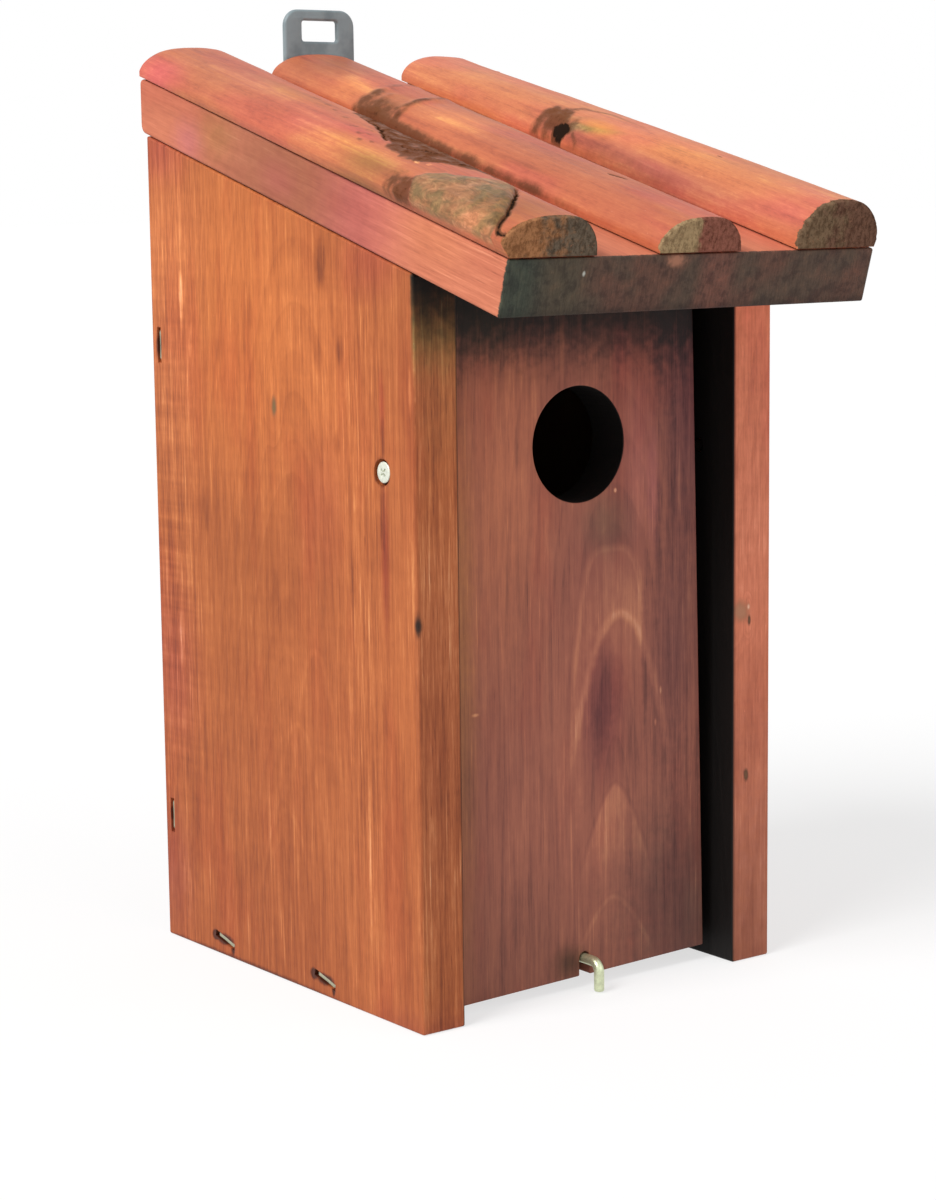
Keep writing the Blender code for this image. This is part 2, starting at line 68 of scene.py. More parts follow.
class Graph:
    """One material's nodes. Each call adds a node and returns its output socket."""

    def __init__(self, name, roughness=0.5, metallic=0.0, specular=0.5):
        self.material = bpy.data.materials.new(name)
        self.material.use_nodes = True
        self.tree = self.material.node_tree
        self.shader = self.tree.nodes["Principled BSDF"]
        self.give("Roughness", roughness)
        self.give("Metallic", metallic)
        self.give("Specular IOR Level", specular)
        self.position = self.add("TexCoord", output="Object")

    def feed(self, socket, value):
        if isinstance(value, bpy.types.NodeSocket):
            self.tree.links.new(value, socket)
        elif value is not None:
            socket.default_value = (*value, 1) if socket.type == "RGBA" else value

    def give(self, name, value):
        self.feed(self.shader.inputs[name], value)

    def add(self, kind, *values, output=0, **settings):
        node = self.tree.nodes.new("ShaderNode" + kind)
        for name, value in settings.items():
            setattr(node, name, value)
        for socket, value in zip(node.inputs, values):
            self.feed(socket, value)
        return node.outputs[output]

    def math(self, operation, first, second=0.0, third=0.0):
        return self.add("Math", first, second, third, operation=operation)

    def plus(self, first, second):
        return self.math("ADD", first, second)

    def less(self, first, second):
        return self.math("SUBTRACT", first, second)

    def times(self, first, second):
        return self.math("MULTIPLY", first, second)

    def gain(self, base, amount, weight):
        """The base plus an amount times its weight."""
        return self.math("MULTIPLY_ADD", amount, weight, base)

    def swing(self, value, weight):
        """A texture's distance from its middle, times the weight."""
        return self.times(self.less(value, 0.5), weight)

    def vary(self, base, value, weight):
        return self.gain(base, self.less(value, 0.5), weight)

    def step(self, value, low, high):
        """0 below low, 1 above high, smooth between. With low over high it falls."""
        return self.add("MapRange", value, low, high, 0.0, 1.0, interpolation_type="SMOOTHSTEP")

    def vector(self, operation, first, second=None, output=0):
        return self.add("VectorMath", first, second, operation=operation, output=output)

    def length(self, value):
        return self.vector("LENGTH", value, output="Value")

    def combine(self, x, y, z):
        return self.add("CombineXYZ", x, y, z)

    def split(self, value):
        return self.add("SeparateXYZ", value).node.outputs

    def noise(self, place, scale, detail=2.0, roughness=0.5, distortion=0.0):
        values = (place, None, scale, detail, roughness, None, None, None, distortion)
        return self.add("TexNoise", *values, output="Fac")

    def stretched(self, place, across, depth, along, *texture):
        """Noise that is drawn out where a share is under 1."""
        return self.noise(self.vector("MULTIPLY", place, (across, depth, along)), *texture)

    def grain(self, place, along, *texture):
        return self.stretched(place, 1, 1, along, *texture)

    def mix(self, share, first, second, blend="MIX"):
        unused = (None,) * 5
        return self.add("Mix", share, *unused, first, second, output=2, data_type="RGBA", blend_type=blend)

    def tint(self, colour, mask, tint):
        return self.mix(mask, colour, self.mix(1.0, colour, tint, "MULTIPLY"))

    def ramp(self, value, colours):
        socket = self.add("ValToRGB", value)
        elements = socket.node.color_ramp.elements
        while len(elements) < len(colours):
            elements.new(0.5)
        for element, place, colour in zip(elements, RAMP_PLACES[len(colours)], colours):
            element.position = place
            element.color = (*colour, 1)
        return socket

    def millimetres(self):
        place = self.vector("SCALE", self.position)
        place.node.inputs["Scale"].default_value = 1 / MM
        return place

    def wood_place(self, origin, across, depth, along):
        """The place in millimetres, across the grain, into the board and along the grain."""
        moved = self.vector("SUBTRACT", self.position, tuple(origin))
        parts = [self.vector("DOT_PRODUCT", moved, tuple(direction / MM), output="Value")
                 for direction in (across, depth, along)]
        return self.combine(*parts)

    def near(self, place, spot, wobble=None, edge=0.25):
        """1 at a spot's centre, falling to 0 at its reach. Four numbers leave the depth free."""
        if len(spot) == 4:
            x, z, reach_x, reach_z = spot
            spot = (x, 0, z, reach_x, FAR, reach_z)
        moved = self.vector("SUBTRACT", place, spot[:3])
        distance = self.length(self.vector("DIVIDE", moved, spot[3:]))
        if wobble is not None:
            distance = self.plus(distance, wobble)
        return self.step(distance, 1.0, edge)

    def flame(self, across, along, x, z, half, drop, power, reach, width, wobble):
        """Outline and inside of a tongue of the grain, half this wide at a drop below its tip."""
        beside = self.math("ABSOLUTE", self.less(across, x))
        below = self.less(z, along)
        share = self.math("POWER", self.math("DIVIDE", beside, half), power)
        rise = self.less(self.times(share, drop), below)
        steep = self.math("DIVIDE", self.times(share, power * drop), self.math("MAXIMUM", beside, 0.5))
        steep = self.math("SQRT", self.gain(1.0, steep, steep))
        distance = self.plus(self.math("DIVIDE", rise, steep), wobble)
        fade = self.step(below, reach, reach * 0.4)
        line = self.times(self.step(self.math("ABSOLUTE", distance), width, width * 0.15), fade)
        return line, self.times(self.step(distance, 0.6, -1.4), fade)

    def finish(self, colour, roughness, height, relief, strength):
        self.give("Base Color", colour)
        self.give("Roughness", roughness)
        bump = self.tree.nodes.new("ShaderNodeBump")
        for name, value in (("Strength", strength), ("Distance", relief), ("Height", height)):
            self.feed(bump.inputs[name], value)
        self.give("Normal", bump.outputs["Normal"])
        return self.material


# Stained pine. Tones run from the darkest to the lightest fibres, at these places on their ramp
RAMP_PLACES = {6: (0.0, 0.25, 0.45, 0.6, 0.8, 1.0), 5: (0.0, 0.35, 0.5, 0.65, 1.0)}
SIDE_TONES = ((0.085, 0.021, 0.009), (0.235, 0.057, 0.02), (0.4, 0.107, 0.033),
              (0.52, 0.152, 0.048), (0.72, 0.265, 0.095), (0.94, 0.52, 0.26))
FRONT_TONES = ((0.05, 0.019, 0.016), (0.17, 0.058, 0.045), (0.315, 0.106, 0.072),
               (0.4, 0.138, 0.088), (0.57, 0.225, 0.125), (0.8, 0.4, 0.24))
ROOF_TONES = ((0.15, 0.045, 0.028), (0.37, 0.105, 0.058), (0.57, 0.172, 0.094),
              (0.68, 0.222, 0.122), (0.84, 0.33, 0.19), (0.98, 0.64, 0.46))
RED_STAIN = (0.86, 0.66, 0.72)
PINK_WOOD = (1.16, 1.12, 1.3)
GREY_SMUDGE = (0.74, 0.95, 0.92)
# Near-black painted shade for inner faces near the front, a hole's wall and hidden screw shanks; dark brown
# for the inner faces further in
PAINTED_SHADE_BLACK = (0.006, 0.0045, 0.004)
INSIDE_BROWN = (0.13, 0.062, 0.038)
# Colours of a knot's heart and edge
BEIGE_KNOT = ((0.4, 0.165, 0.075), (0.2, 0.07, 0.032))
SOFT_KNOT = ((0.47, 0.205, 0.115), (0.42, 0.16, 0.085))
PALE_FLECK = ((0.84, 0.47, 0.32), (0.62, 0.28, 0.17))
DARK_KNOT = ((0.16, 0.075, 0.035), (0.045, 0.02, 0.012))
BLACK_KNOT = ((0.025, 0.012, 0.008), (0.11, 0.036, 0.018))
GREY_KNOT = ((0.2, 0.115, 0.045), (0.3, 0.11, 0.045))


def pine(name, axes, tones, pith, ring, grain, late_weight, knots=(), tints=(), darks=(), zones=(),
         flames=(), ripples=(), inside=None, inner_shade=None, hole=None, sawn=None):
    """Flat-sawn stained pine, solid through the board: rings round a pith line, fibres, stains, knots.

    pith has the pith's place across at the foot and its drift up the board, then its depth at the foot
    and two rates of that. Spots are rows of a centre, a reach and a value: darks move the tone, zones the
    strength of the grain and ripples the planer's marks, and tints multiply the colour. Inner faces past
    the inside depth are dark brown, with near-black painted shade towards the front edge when asked for,
    and a round hole's wall is painted near-black as shade.
    """
    g = Graph(name, specular=0.22)
    place = g.wood_place(*axes)
    across, depth, along = g.split(place)
    pith_across, drift, pith_depth, slope, bend = pith
    wander = g.plus(g.swing(g.grain(place, 0.22, 0.03, 2), 9.0), g.swing(g.grain(place, 0.1, 0.12, 2), 2.2))
    beside = g.less(g.plus(across, wander), g.gain(pith_across, along, drift))
    under = g.plus(depth, g.gain(pith_depth, along, g.gain(slope, along, bend)))
    distance = g.length(g.combine(beside, under, 0.0))
    edge_wobble = g.swing(g.noise(place, 0.35, 3), 0.55)
    knot_masks = []
    for *spot, _ in knots:
        around = (*spot[:3], spot[3] * 3.2, spot[4] * 3.2, spot[5] * 4.5)
        distance = g.plus(distance, g.times(g.near(place, around), ring * 1.6))
        knot_masks.append(g.near(place, spot, edge_wobble))
    rings = g.math("DIVIDE", distance, ring)
    uneven = g.noise(g.combine(rings, 0.0, 0.0), 0.6, 1)
    rings = g.plus(rings, g.times(uneven, 1.3))
    phase = g.math("FRACT", rings)
    late = g.times(g.step(phase, 0.15, 0.9), g.step(phase, 1.0, 0.9))
    band = g.add("TexWhiteNoise", None, g.math("FLOOR", rings), noise_dimensions="1D")
    late = g.times(late, g.gain(0.1, band, 1.3))

    streak = g.grain(place, 0.03, 0.42, 3, 0.6)
    fibre = g.grain(place, 0.035, 1.15, 3, 0.65)
    fine = g.grain(place, 0.07, 2.6, 2, 0.7)
    blotch = g.grain(place, 0.45, 0.055, 3, 0.6)
    mottle = g.grain(place, 0.35, 0.4, 3, 0.7)
    dash = g.step(g.grain(place, 0.07, 1.7, 1), 0.66, 0.76)
    glint = g.step(g.grain(place, 0.03, 1.1, 2, 0.6), 0.58, 0.72)
    chip = g.step(g.grain(place, 0.3, 1.1, 2, 0.6), 0.74, 0.79)
    planer = g.less(g.stretched(place, 0.06, 0.06, 1, 0.26, 3), 0.5)
    hue = g.step(g.grain(place, 0.3, 0.05, 3, 0.55), 0.48, 0.68)

    strength = grain
    for *spot, value in zones:
        strength = g.gain(strength, g.near(place, spot, edge=0.0), value)
    fibres = g.vary(g.vary(g.swing(streak, 0.6), fibre, 0.6), fine, 0.3)
    fibres = g.gain(g.gain(fibres, glint, 0.2), dash, -0.14)
    tone = g.gain(0.52, fibres, strength)
    tone = g.vary(g.vary(tone, blotch, 0.34), mottle, 0.2)
    tone = g.gain(g.gain(tone, late, late_weight), chip, 0.16)
    for *spot, value in ripples:
        tone = g.gain(tone, g.times(planer, g.near(place, spot, edge=0.0)), value)
    for *shape, line_value, inner_value in flames:
        line, inner = g.flame(across, along, *shape, edge_wobble)
        tone = g.gain(g.gain(tone, line, line_value), inner, inner_value)
    for *spot, value in darks:
        tone = g.gain(tone, g.near(place, spot, edge_wobble), value)
    colour = g.tint(g.ramp(tone, tones), g.times(hue, 0.6), RED_STAIN)
    for *spot, value in tints:
        colour = g.tint(colour, g.near(place, spot, g.times(edge_wobble, 0.6), 0.0), value)
    for (*spot, (core, edge)), mask in zip(knots, knot_masks):
        heart = (*spot[:3], *(reach * 0.72 for reach in spot[3:]))
        colour = g.mix(g.near(place, heart, edge_wobble), g.mix(mask, colour, edge), core)
        tone = g.gain(tone, mask, -0.4)
    height = g.plus(tone, g.times(late, 0.25))
    if sawn is not None:
        colour, height = sawn(g, place, colour, height)
    # Inner faces: dark brown, and with the shade settings near-black painted shade towards the front edge,
    # fading to the brown further in
    if inside is not None:
        inner = g.step(depth, inside - 0.3, inside)
        within = INSIDE_BROWN
        if inner_shade is not None:
            dark_from, dark_to, front_edge = inner_shade
            within = g.mix(g.step(across, dark_from, dark_to), PAINTED_SHADE_BLACK, INSIDE_BROWN)
            inner = g.times(inner, g.step(across, front_edge, front_edge + 0.4))
        inner_grain_and_shade = g.mix(g.step(tone, 0.2, 0.8), g.mix(1.0, within, (0.6, 0.6, 0.6), "MULTIPLY"), within)
        colour = g.mix(inner, colour, inner_grain_and_shade)
    # Painted shade: a round hole's wall goes near-black
    if hole is not None:
        x, z, radius = hole
        off_axis = g.length(g.combine(g.less(across, x), g.less(along, z), 0.0))
        colour = g.mix(g.step(off_axis, radius + 0.25, radius + 0.05), colour, PAINTED_SHADE_BLACK)
    return g.finish(colour, g.vary(0.62, tone, 0.18), height, relief=0.00022, strength=0.55)


# Spots of bare wood and a pale speck on the eave
EAVE_SPOTS = ((-8, 1.6, 0, 4.2, 2.6, 9, (0.38, 0.165, 0.1)), (-38, 4.2, 0, 0.7, 0.9, 9, (0.5, 0.5, 0.44)))


def sawn_eave(g, place, colour, height):
    """The roof board's sawn front end: brown-grey, with upright saw marks and a few torn spots."""
    across, depth, along = g.split(place)
    end = g.step(g.plus(along, g.swing(g.grain(place, 0.6, 1.1, 3, 0.7), 1.6)), 0.95, 0.35)
    saw = g.stretched(place, 1, 0.16, 0.2, 1.5, 4, 0.75)
    grit = g.noise(place, 1.3, 3, 0.75)
    cloud = g.grain(place, 1, 0.22, 4, 0.7)
    wood = g.mix(g.step(g.noise(place, 0.06, 3), 0.42, 0.62), (0.098, 0.06, 0.04), (0.13, 0.06, 0.04))
    wood = g.mix(g.step(across, -30.0, -42.0), wood, (0.086, 0.064, 0.04))
    wood = g.mix(g.step(across, -47.0, -57.0), wood, (0.05, 0.058, 0.04))
    wood = g.mix(g.near(place, (7, 0, 9, 20)), wood, (0.17, 0.07, 0.048))
    wood = g.tint(wood, g.step(saw, 0.6, 0.36), (0.72, 0.7, 0.7))
    wood = g.tint(wood, g.step(cloud, 0.52, 0.38), (0.62, 0.6, 0.62))
    wood = g.tint(wood, g.times(g.step(cloud, 0.52, 0.68), 0.5), (1.7, 1.5, 1.4))
    wood = g.mix(g.times(g.step(saw, 0.62, 0.8), 0.5), wood, (0.22, 0.135, 0.09))
    wood = g.mix(g.times(g.step(grit, 0.56, 0.72), 0.6), wood, (0.045, 0.032, 0.026))
    wood = g.tint(wood, g.step(depth, 11.5, 15.5), (0.55, 0.52, 0.52))
    for *spot, bare in EAVE_SPOTS:
        wood = g.mix(g.near(place, spot, g.swing(g.noise(place, 0.9, 3), 0.9)), wood, bare)
    return g.mix(end, colour, wood), g.plus(height, g.times(g.times(saw, end), 1.6))


def dress(node, material):
    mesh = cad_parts[node].data
    mesh.materials.clear()
    mesh.materials.append(material)


# Dark crushed wood and painted shade round the left side's staples: the back's two, then three round each
# of the floor's
DENT_AND_SHADE = -0.75
FLOOR_STAPLES = (33.7, -19.1)
STAPLE_DENTS_AND_SHADE = ((62.2, 179.2, 1.9, 6.6, DENT_AND_SHADE), (62.4, 37.6, 1.3, 6.2, DENT_AND_SHADE),
                *((y + beside, z, reach_y, reach_z, DENT_AND_SHADE) for beside, z, reach_y, reach_z in
                  ((0, 4.9, 6.6, 2.2), (5.4, 5.4, 2.4, 2.2), (-4.3, 2.9, 1.3, 2.4)) for y in FLOOR_STAPLES))
# Painted shadow under the eave on the left side's front edge, in three coats
EAVE_SHADE = (-66.3, 7, 207, 1.8, 40, 30)
SHADE_COATS = ((0, 0, 0), (0, 0.1, 0.1), (0.1, 0.2, 0.3))


def paint_boards():
    inside = board_thickness / MM - 0.7
    # Painted shade on the inner faces: near-black in front of y -30 mm, turning brown by y 10 mm
    inner_shade = (-30, 10, -66.3)
    outside = ACROSS * side_outside
    dress("side_left", pine(
        "pine_side_left", (-outside, BACKWARD, ACROSS, UP), SIDE_TONES, (4, -0.08, 6, 0.12, 0.0002),
        ring=2.1, grain=0.62, late_weight=-0.04, inside=inside, inner_shade=inner_shade,
        ripples=((60, 120, 26, 120, 0.5), (0, 110, 200, 300, 0.1)),
        knots=((0.6, 0, 164.6, 1.9, 9, 3.9, GREY_KNOT), (-66.4, 0, 111, 2.4, 2.2, 4.6, BLACK_KNOT)),
        zones=((57, 150, 26, 260, 0.6), (-42, 130, 17, 210, 0.5), (10, 30, 60, 70, 0.2),
               (-66.3, 7, 120, 1.6, 60, 400, 0.5)),
        flames=((-17.5, 98, 9, 20, 2, 60, 1.5, 0.05, -0.02), (-8, 76, 12, 26, 2, 60, 1.5, 0.05, 0.01),
                (-1, 50, 14, 24, 2, 50, 1.5, 0.04, -0.02)),
        darks=((-23.8, 205, 3.4, 10, -0.24), (-21.9, 180, 3, 7, -0.12), (-32.5, 181, 2.4, 5, -0.15),
               (-13.3, 187, 2.2, 5, -0.06), (-51.2, 139, 2, 14, -0.2), (-51.6, 159, 1.6, 9, -0.16),
               # Next line: painted shade round the pivot screw's head, and a painted highlight along the
               # front arris
               (-51.15, 150.1, 4.5, 4.5, -1.1), (-66.3, 0, 186, 0.9, 0.9, 34, 0.34),
               (20, 0, 0, 70, 3, 1.6, -0.35), (66.9, 0, 110, 1.2, 2, 400, -0.28), (12, 190, 2.2, 6, -0.07),
               (30, 178, 2, 7, -0.07), (-30, 156, 2.4, 5, -0.1), (22, 128, 3.4, 9, -0.09),
               (-6, 142, 2.2, 6, -0.08), (2, 112, 3, 8, -0.07), (38, 132, 2.2, 9, -0.09),
               (-37, 120, 1.6, 14, -0.12), (-42.6, 46, 1, 34, 0.24), (-64.3, 172, 1, 9, 0.25),
               (-64.5, 122, 1, 20, 0.2), (49, 193, 1.6, 12, 0.24), (44.6, 181, 1.3, 8, 0.15),
               (54, 92, 2, 14, 0.22), *STAPLE_DENTS_AND_SHADE),
        tints=((15, 186, 62, 72, (1.34, 1.38, 1.2)), (58, 205, 28, 90, (1.12, 1.18, 1.42)),
               (60, 84, 24, 46, (0.84, 0.68, 1.02)), (0, -10, 130, 130, (0.8, 0.77, 0.8)),
               (20, 112, 46, 60, (0.86, 0.84, 0.8)), (60, 215, 26, 50, (1.1, 1.1, 1)),
               (-47, 206, 22, 16, (0.92, 0.74, 1.05)), (60, 236, 26, 15, (0.9, 0.7, 1.05)),
               (-35, 165, 30, 60, (1.14, 1.14, 1.1)), (-52, 128, 3.2, 30, (0.8, 0.56, 0.74)),
               (-51.5, 168, 2.2, 14, (0.84, 0.6, 0.74)), (-22, 138, 18, 32, (0.9, 0.8, 0.92)),
               (-40, 20, 24, 60, (1.14, 1.2, 1.2)), (64, 20, 22, 34, (0.8, 0.72, 1.1)),
               (-60, -4, 34, 14, (0.85, 0.75, 1)), (-66.3, 7, 80, 1.8, 40, 120, (0.8, 0.78, 0.92)),
               (-66.3, 7, 190, 1.8, 40, 50, (1.05, 1.35, 1.5)),
               # Painted shadow under the eave on the front edge: a darker band, then the three coats
               (-66.3, 7, 187, 1.8, 40, 16, (0.7, 1, 0.9)),
               *((*EAVE_SHADE, coat) for coat in SHADE_COATS))))
    dress("side_right", pine(
        "pine_side_right", (outside, BACKWARD, -ACROSS, UP), SIDE_TONES, (-12, 0.05, 9, 0.1, 0.0002),
        ring=2.3, grain=0.5, late_weight=-0.05, inside=inside, inner_shade=inner_shade,
        ripples=((0, 110, 200, 300, 0.12),),
        knots=((-66.4, 11.3, 103.2, 3, 4.6, 4.4, SOFT_KNOT), (-66.4, 8.2, 104.2, 2, 0.8, 1.3, PALE_FLECK),
               (-66.4, 7.9, 100.2, 2, 0.8, 1.9, DARK_KNOT), (-66.4, 9, 55, 2, 1.3, 2.6, DARK_KNOT),
               (20, 0, 140, 5, 9, 7, BEIGE_KNOT)),
        zones=((-40, 120, 30, 200, 0.3), (50, 120, 24, 200, 0.4), (-66.3, 7, 120, 1.6, 60, 400, -0.12)),
        # After the first tint, the front edge: painted light at the top against the eave's shadow, lighter
        # all along, and darker towards the foot
        tints=((40, 30, 26, 40, (0.82, 0.72, 1.08)), (-66.3, 7, 215, 1.8, 60, 120, (1.36, 1.46, 1.5)),
               (-66.3, 7, 120, 1.8, 60, 300, (1.42, 1.5, 2.65)),
               (-66.3, 7, 0, 1.8, 60, 110, (0.6, 0.68, 0.8)))))
    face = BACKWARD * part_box("front_panel")[0].y
    dress("front_panel", pine(
        "pine_front", (face, ACROSS, BACKWARD, UP), FRONT_TONES, (11, 0, 0.5, 0.045, 0.0006),
        # The entrance hole's wall is painted near-black as shade
        ring=3.1, grain=0.58, late_weight=-0.06, inside=inside, hole=(-1.4, 154, 16),
        zones=((36, 120, 20, 220, 0.4), (-24, 90, 26, 160, 0.15)),
        flames=((10, 124.5, 10.5, 12, 4, 62, 1.6, 0.13, 0.13), (13, 105.5, 13, 22, 2, 60, 2.2, 0.15, -0.1),
                (11.1, 57.7, 8.5, 12.8, 1.6, 34, 1, -0.05, 0.16),
                (10.1, 24.7, 10, 10, 1.6, 26, 1.2, 0.1, 0.03)),
        # The first row is painted shadow under the eave; the next two darken the top further at the left
        # and right
        darks=((0, 200, 300, 30, -0.44), (-30, 198, 40, 24, -0.12), (34, 190, 14, 44, -0.2),
               (6, 84, 8, 22, -0.12), (-2.5, 66, 3.2, 30, 0.17), (22, 92, 1.6, 26, -0.16),
               (27, 118, 1.6, 30, -0.14), (33, 150, 1.4, 26, -0.12), (-20, 120, 1.3, 22, -0.1),
               (-12, 96, 1.4, 30, -0.09), (16, 40, 2, 20, -0.1), (4, 34, 1.6, 16, -0.09),
               (-29, 60, 2.2, 30, -0.09), (30, 30, 2.4, 22, -0.12), (-24, 24, 3, 16, -0.1),
               (-7, 180, 1.3, 14, 0.2), (-16.6, 167, 1.6, 10, 0.12), (-9, 66, 3.4, 26, 0.1),
               (1.2, 80, 1.4, 12, 0.12), (28, 82, 0.7, 1.6, 0.35), (26, 73, 0.6, 1.4, 0.3),
               (-38, 83, 1.8, 0.8, 0.35), (11.5, 140.4, 0.8, 1, 0.6), (32, 60, 3, 60, -0.07),
               (24, 100, 2.4, 30, -0.07)),
        # The first two rows are painted shadow under the eave, near-black at the top and dark greenish
        # below
        tints=((0, 200, 300, 23, (0.04, 0.15, 0.13)), (0, 200, 300, 36, (0.36, 0.54, 0.5)),
               (-30, 140, 30, 80, (1.36, 1.32, 1.08)), (2, 92, 18, 36, (0.92, 0.88, 0.9)),
               (10, 122, 22, 24, (0.8, 0.78, 0.86)), (-34, 198, 18, 24, (0.95, 1.35, 1)),
               (-43, 90, 8, 130, (1.1, 1.22, 0.86)), (20, 149, 9, 34, PINK_WOOD),
               (14.5, 181, 6, 19, (1.3, 1.1, 1.15)), (25.5, 140, 3.5, 26, PINK_WOOD),
               (8.5, 131.5, 14, 13, GREY_SMUDGE), (6, 80, 13, 30, (0.8, 0.7, 0.86)),
               (40, 160, 22, 66, (0.54, 0.56, 0.78)), (36, 16, 40, 60, (0.4, 0.52, 0.6)),
               (-20, 6, 50, 46, (0.8, 0.84, 0.84)), (34, 96, 18, 54, (0.6, 0.62, 0.76)),
               # Next line: the hook's painted shadow left of the slot, and painted shade inside the slot
               (-6, 8, 9, 8, (0.35, 0.42, 0.4)), (-1.4, 9, 3, 7, 9, 9, (0.05, 0.05, 0.05)))))
    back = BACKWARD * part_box("back_panel")[1].y
    dress("back_panel", pine(
        "pine_back", (back, ACROSS, -BACKWARD, UP), SIDE_TONES, (8, -0.02, 7, 0.1, 0.0003),
        ring=2.5, grain=0.42, late_weight=-0.08, ripples=((0, 110, 200, 300, 0.12),), inside=inside,
        knots=((-20, 0, 70, 5, 9, 8, BEIGE_KNOT), (24, 0, 168, 4, 9, 6, DARK_KNOT)),
        tints=((0, 216, 60, 34, (0.9, 0.78, 0.95)), (-30, 20, 40, 50, (0.86, 0.78, 1)))))
    floor_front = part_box("floor_board")[0].y / MM
    dress("floor_board", pine(
        "pine_floor", (Vector(), BACKWARD, UP, ACROSS), SIDE_TONES, (0, 0.02, 12, 0.05, 0),
        ring=2.4, grain=0.42, late_weight=-0.08, inside=inside, knots=((-20, 0, 14, 4, 9, 6, BEIGE_KNOT),),
        # Painted shade: the floor's front edge behind the hook's slot is near-black
        tints=((floor_front, 6, -1.4, 9, 30, 14, (0.02, 0.02, 0.02)),)))
    top = eave_underside + OFF_ROOF * roof_thickness
    dress("roof_board", pine(
        "pine_roof", (top, ACROSS, -OFF_ROOF, UP_SLOPE), ROOF_TONES, (10, 0.02, 14, 0.04, 0),
        ring=2.8, grain=0.4, late_weight=-0.04, sawn=sawn_eave, zones=((-62, 16, 40, 60, 0.35),),
        tints=((-62.5, 7, 104, 30, 60, 66, (0.58, 0.6, 0.58)), (-62.5, 7, 66, 30, 60, 30, (1, 0.84, 1.2)),
               (-62.5, 11, 152, 4, 10, 13, (1, 0.96, 1.45)), (-62.5, 5, 138, 4, 12, 15, (0.88, 1.02, 0.8)),
               (-62.5, 9, 104, 4, 9, 15, (1.1, 0.95, 1.2)), (-62.5, 4, 30, 4, 12, 22, (1.06, 1.1, 1)),
               (-62.5, 0, 90, 4, 0.9, 200, (0.62, 0.6, 0.66)),
               (-62.5, 15, 90, 4, 0.9, 200, (0.7, 0.66, 0.7)))))


# Meshes
def bridge(shape, near, far):
    """Faces between two closed rings of points."""
    for index in range(len(near)):
        shape.faces.new((near[index - 1], near[index], far[index], far[index - 1]))


def fan(shape, ring, middle):
    for index in range(len(ring)):
        shape.faces.new((ring[index - 1], ring[index], middle))


def mesh_object(name, shape, smooth_angle=40):
    bmesh.ops.recalc_face_normals(shape, faces=shape.faces)
    mesh = bpy.data.meshes.new(name)
    shape.to_mesh(mesh)
    shape.free()
    mesh.shade_smooth()
    mesh.set_sharp_from_angle(angle=radians(smooth_angle))
    item = bpy.data.objects.new(name, mesh)
    bpy.context.scene.collection.objects.link(item)
    return item


def stand_in(piece, material, body, node):
    """Gives a piece its material and the place of a CAD node."""
    piece.data.materials.clear()
    piece.data.materials.append(material)
    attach(piece, body)
    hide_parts(node)


# Half-round logs
log_edge = 1.2
log_swell_share = 0.03
arch_power_share = 2.5
arch_root_share = 0.58
log_seat = roof_thickness / MM + 0.3
log_stations = 250
log_steps = 72
rear_stations = 6


class Log:
    """A tapered half-round log. Its outlines are at a share of the way from the eave to the rear."""

    def __init__(self, name, side, widths, heights, crest_share, bulge=0.0, seed=0.0, tear=0.0):
        self.name, self.side, self.widths, self.heights = name, side, widths, heights
        self.crest_share, self.bulge, self.seed, self.tear = crest_share, bulge, seed, tear

    def span(self, share):
        """The two edges of the log's flat underside."""
        width = self.widths[0] + (self.widths[1] - self.widths[0]) * share
        middle = self.side * (2 * side_outside / MM - width) / 2
        return middle - width / 2, middle + width / 2

    def round_span(self, share):
        """The round's edges and their heights. An outer log bulges over the roof board's side."""
        left, right = self.span(share)
        bulge = self.bulge * (1 - share)
        left_bulge, right_bulge = max(-self.side, 0) * bulge, max(self.side, 0) * bulge
        return left - left_bulge, log_edge + left_bulge, right + right_bulge, log_edge + right_bulge

    def off_board(self, x, share):
        left, left_edge, right, right_edge = self.round_span(share)
        middle, half = (left + right) / 2, (right - left) / 2
        crest_x = middle + half * self.crest_share
        reach = right - crest_x if x > crest_x else crest_x - left
        arch = (1 - min(abs(x - crest_x) / reach, 1) ** arch_power_share) ** arch_root_share
        edge = left_edge + (right_edge - left_edge) * (x - left) / (right - left)
        crest = self.heights[0] + (self.heights[1] - self.heights[0]) * share
        crest *= 1 + log_swell_share * sin(pi * share)
        return edge + (crest - edge) * arch


LOGS = (
    Log("left", -1, (28, 35), (10.5, 8.5), 0.15, 2.6, seed=3.1),
    Log("middle", 0, (28, 33), (9.1, 7.4), 0.13, seed=17.7),
    Log("right", 1, (28.5, 31), (13, 7.8), 0.05, 0.8, seed=42.3, tear=1.3),
)

# Marks, in millimetres across and up the slope from the eave. Spots are centres and reaches, and
# strokes are lines, widths and strengths
LEFT_KNOT = ((-63.2, 43), (-60, 45.5), (-56.6, 44.1), (-52.3, 38.8), (-46.8, 34.7), (-42, 31), (-42.5, 27),
             (-46, 22), (-49.4, 17.9), (-54.5, 12.5), (-58.9, 8.5), (-63.3, 5.6), (-70, 3.5), (-70, 38))
LEFT_CRACK = ((-43.5, 25), (-46, 21.5), (-49.4, 17.4), (-54.5, 12), (-58.9, 8), (-62.6, 5.6), (-64.2, 3.2),
              (-63.4, 0.3))
LEFT_BARK = ((-40.5, 104), (-42, 96), (-44.5, 86), (-48.5, 77), (-53.2, 68.6), (-55.4, 60.6), (-54.2, 54.5),
             (-50.5, 51), (-46.8, 47.5), (-42.5, 43), (-40, 30), (-34, 28), (-34, 106))
LEFT_CHECKS = (((-41.5, 99), (-43.5, 88), (-47.5, 79), (-50.5, 74)), ((-49.5, 68), (-46, 63), (-42, 61)))
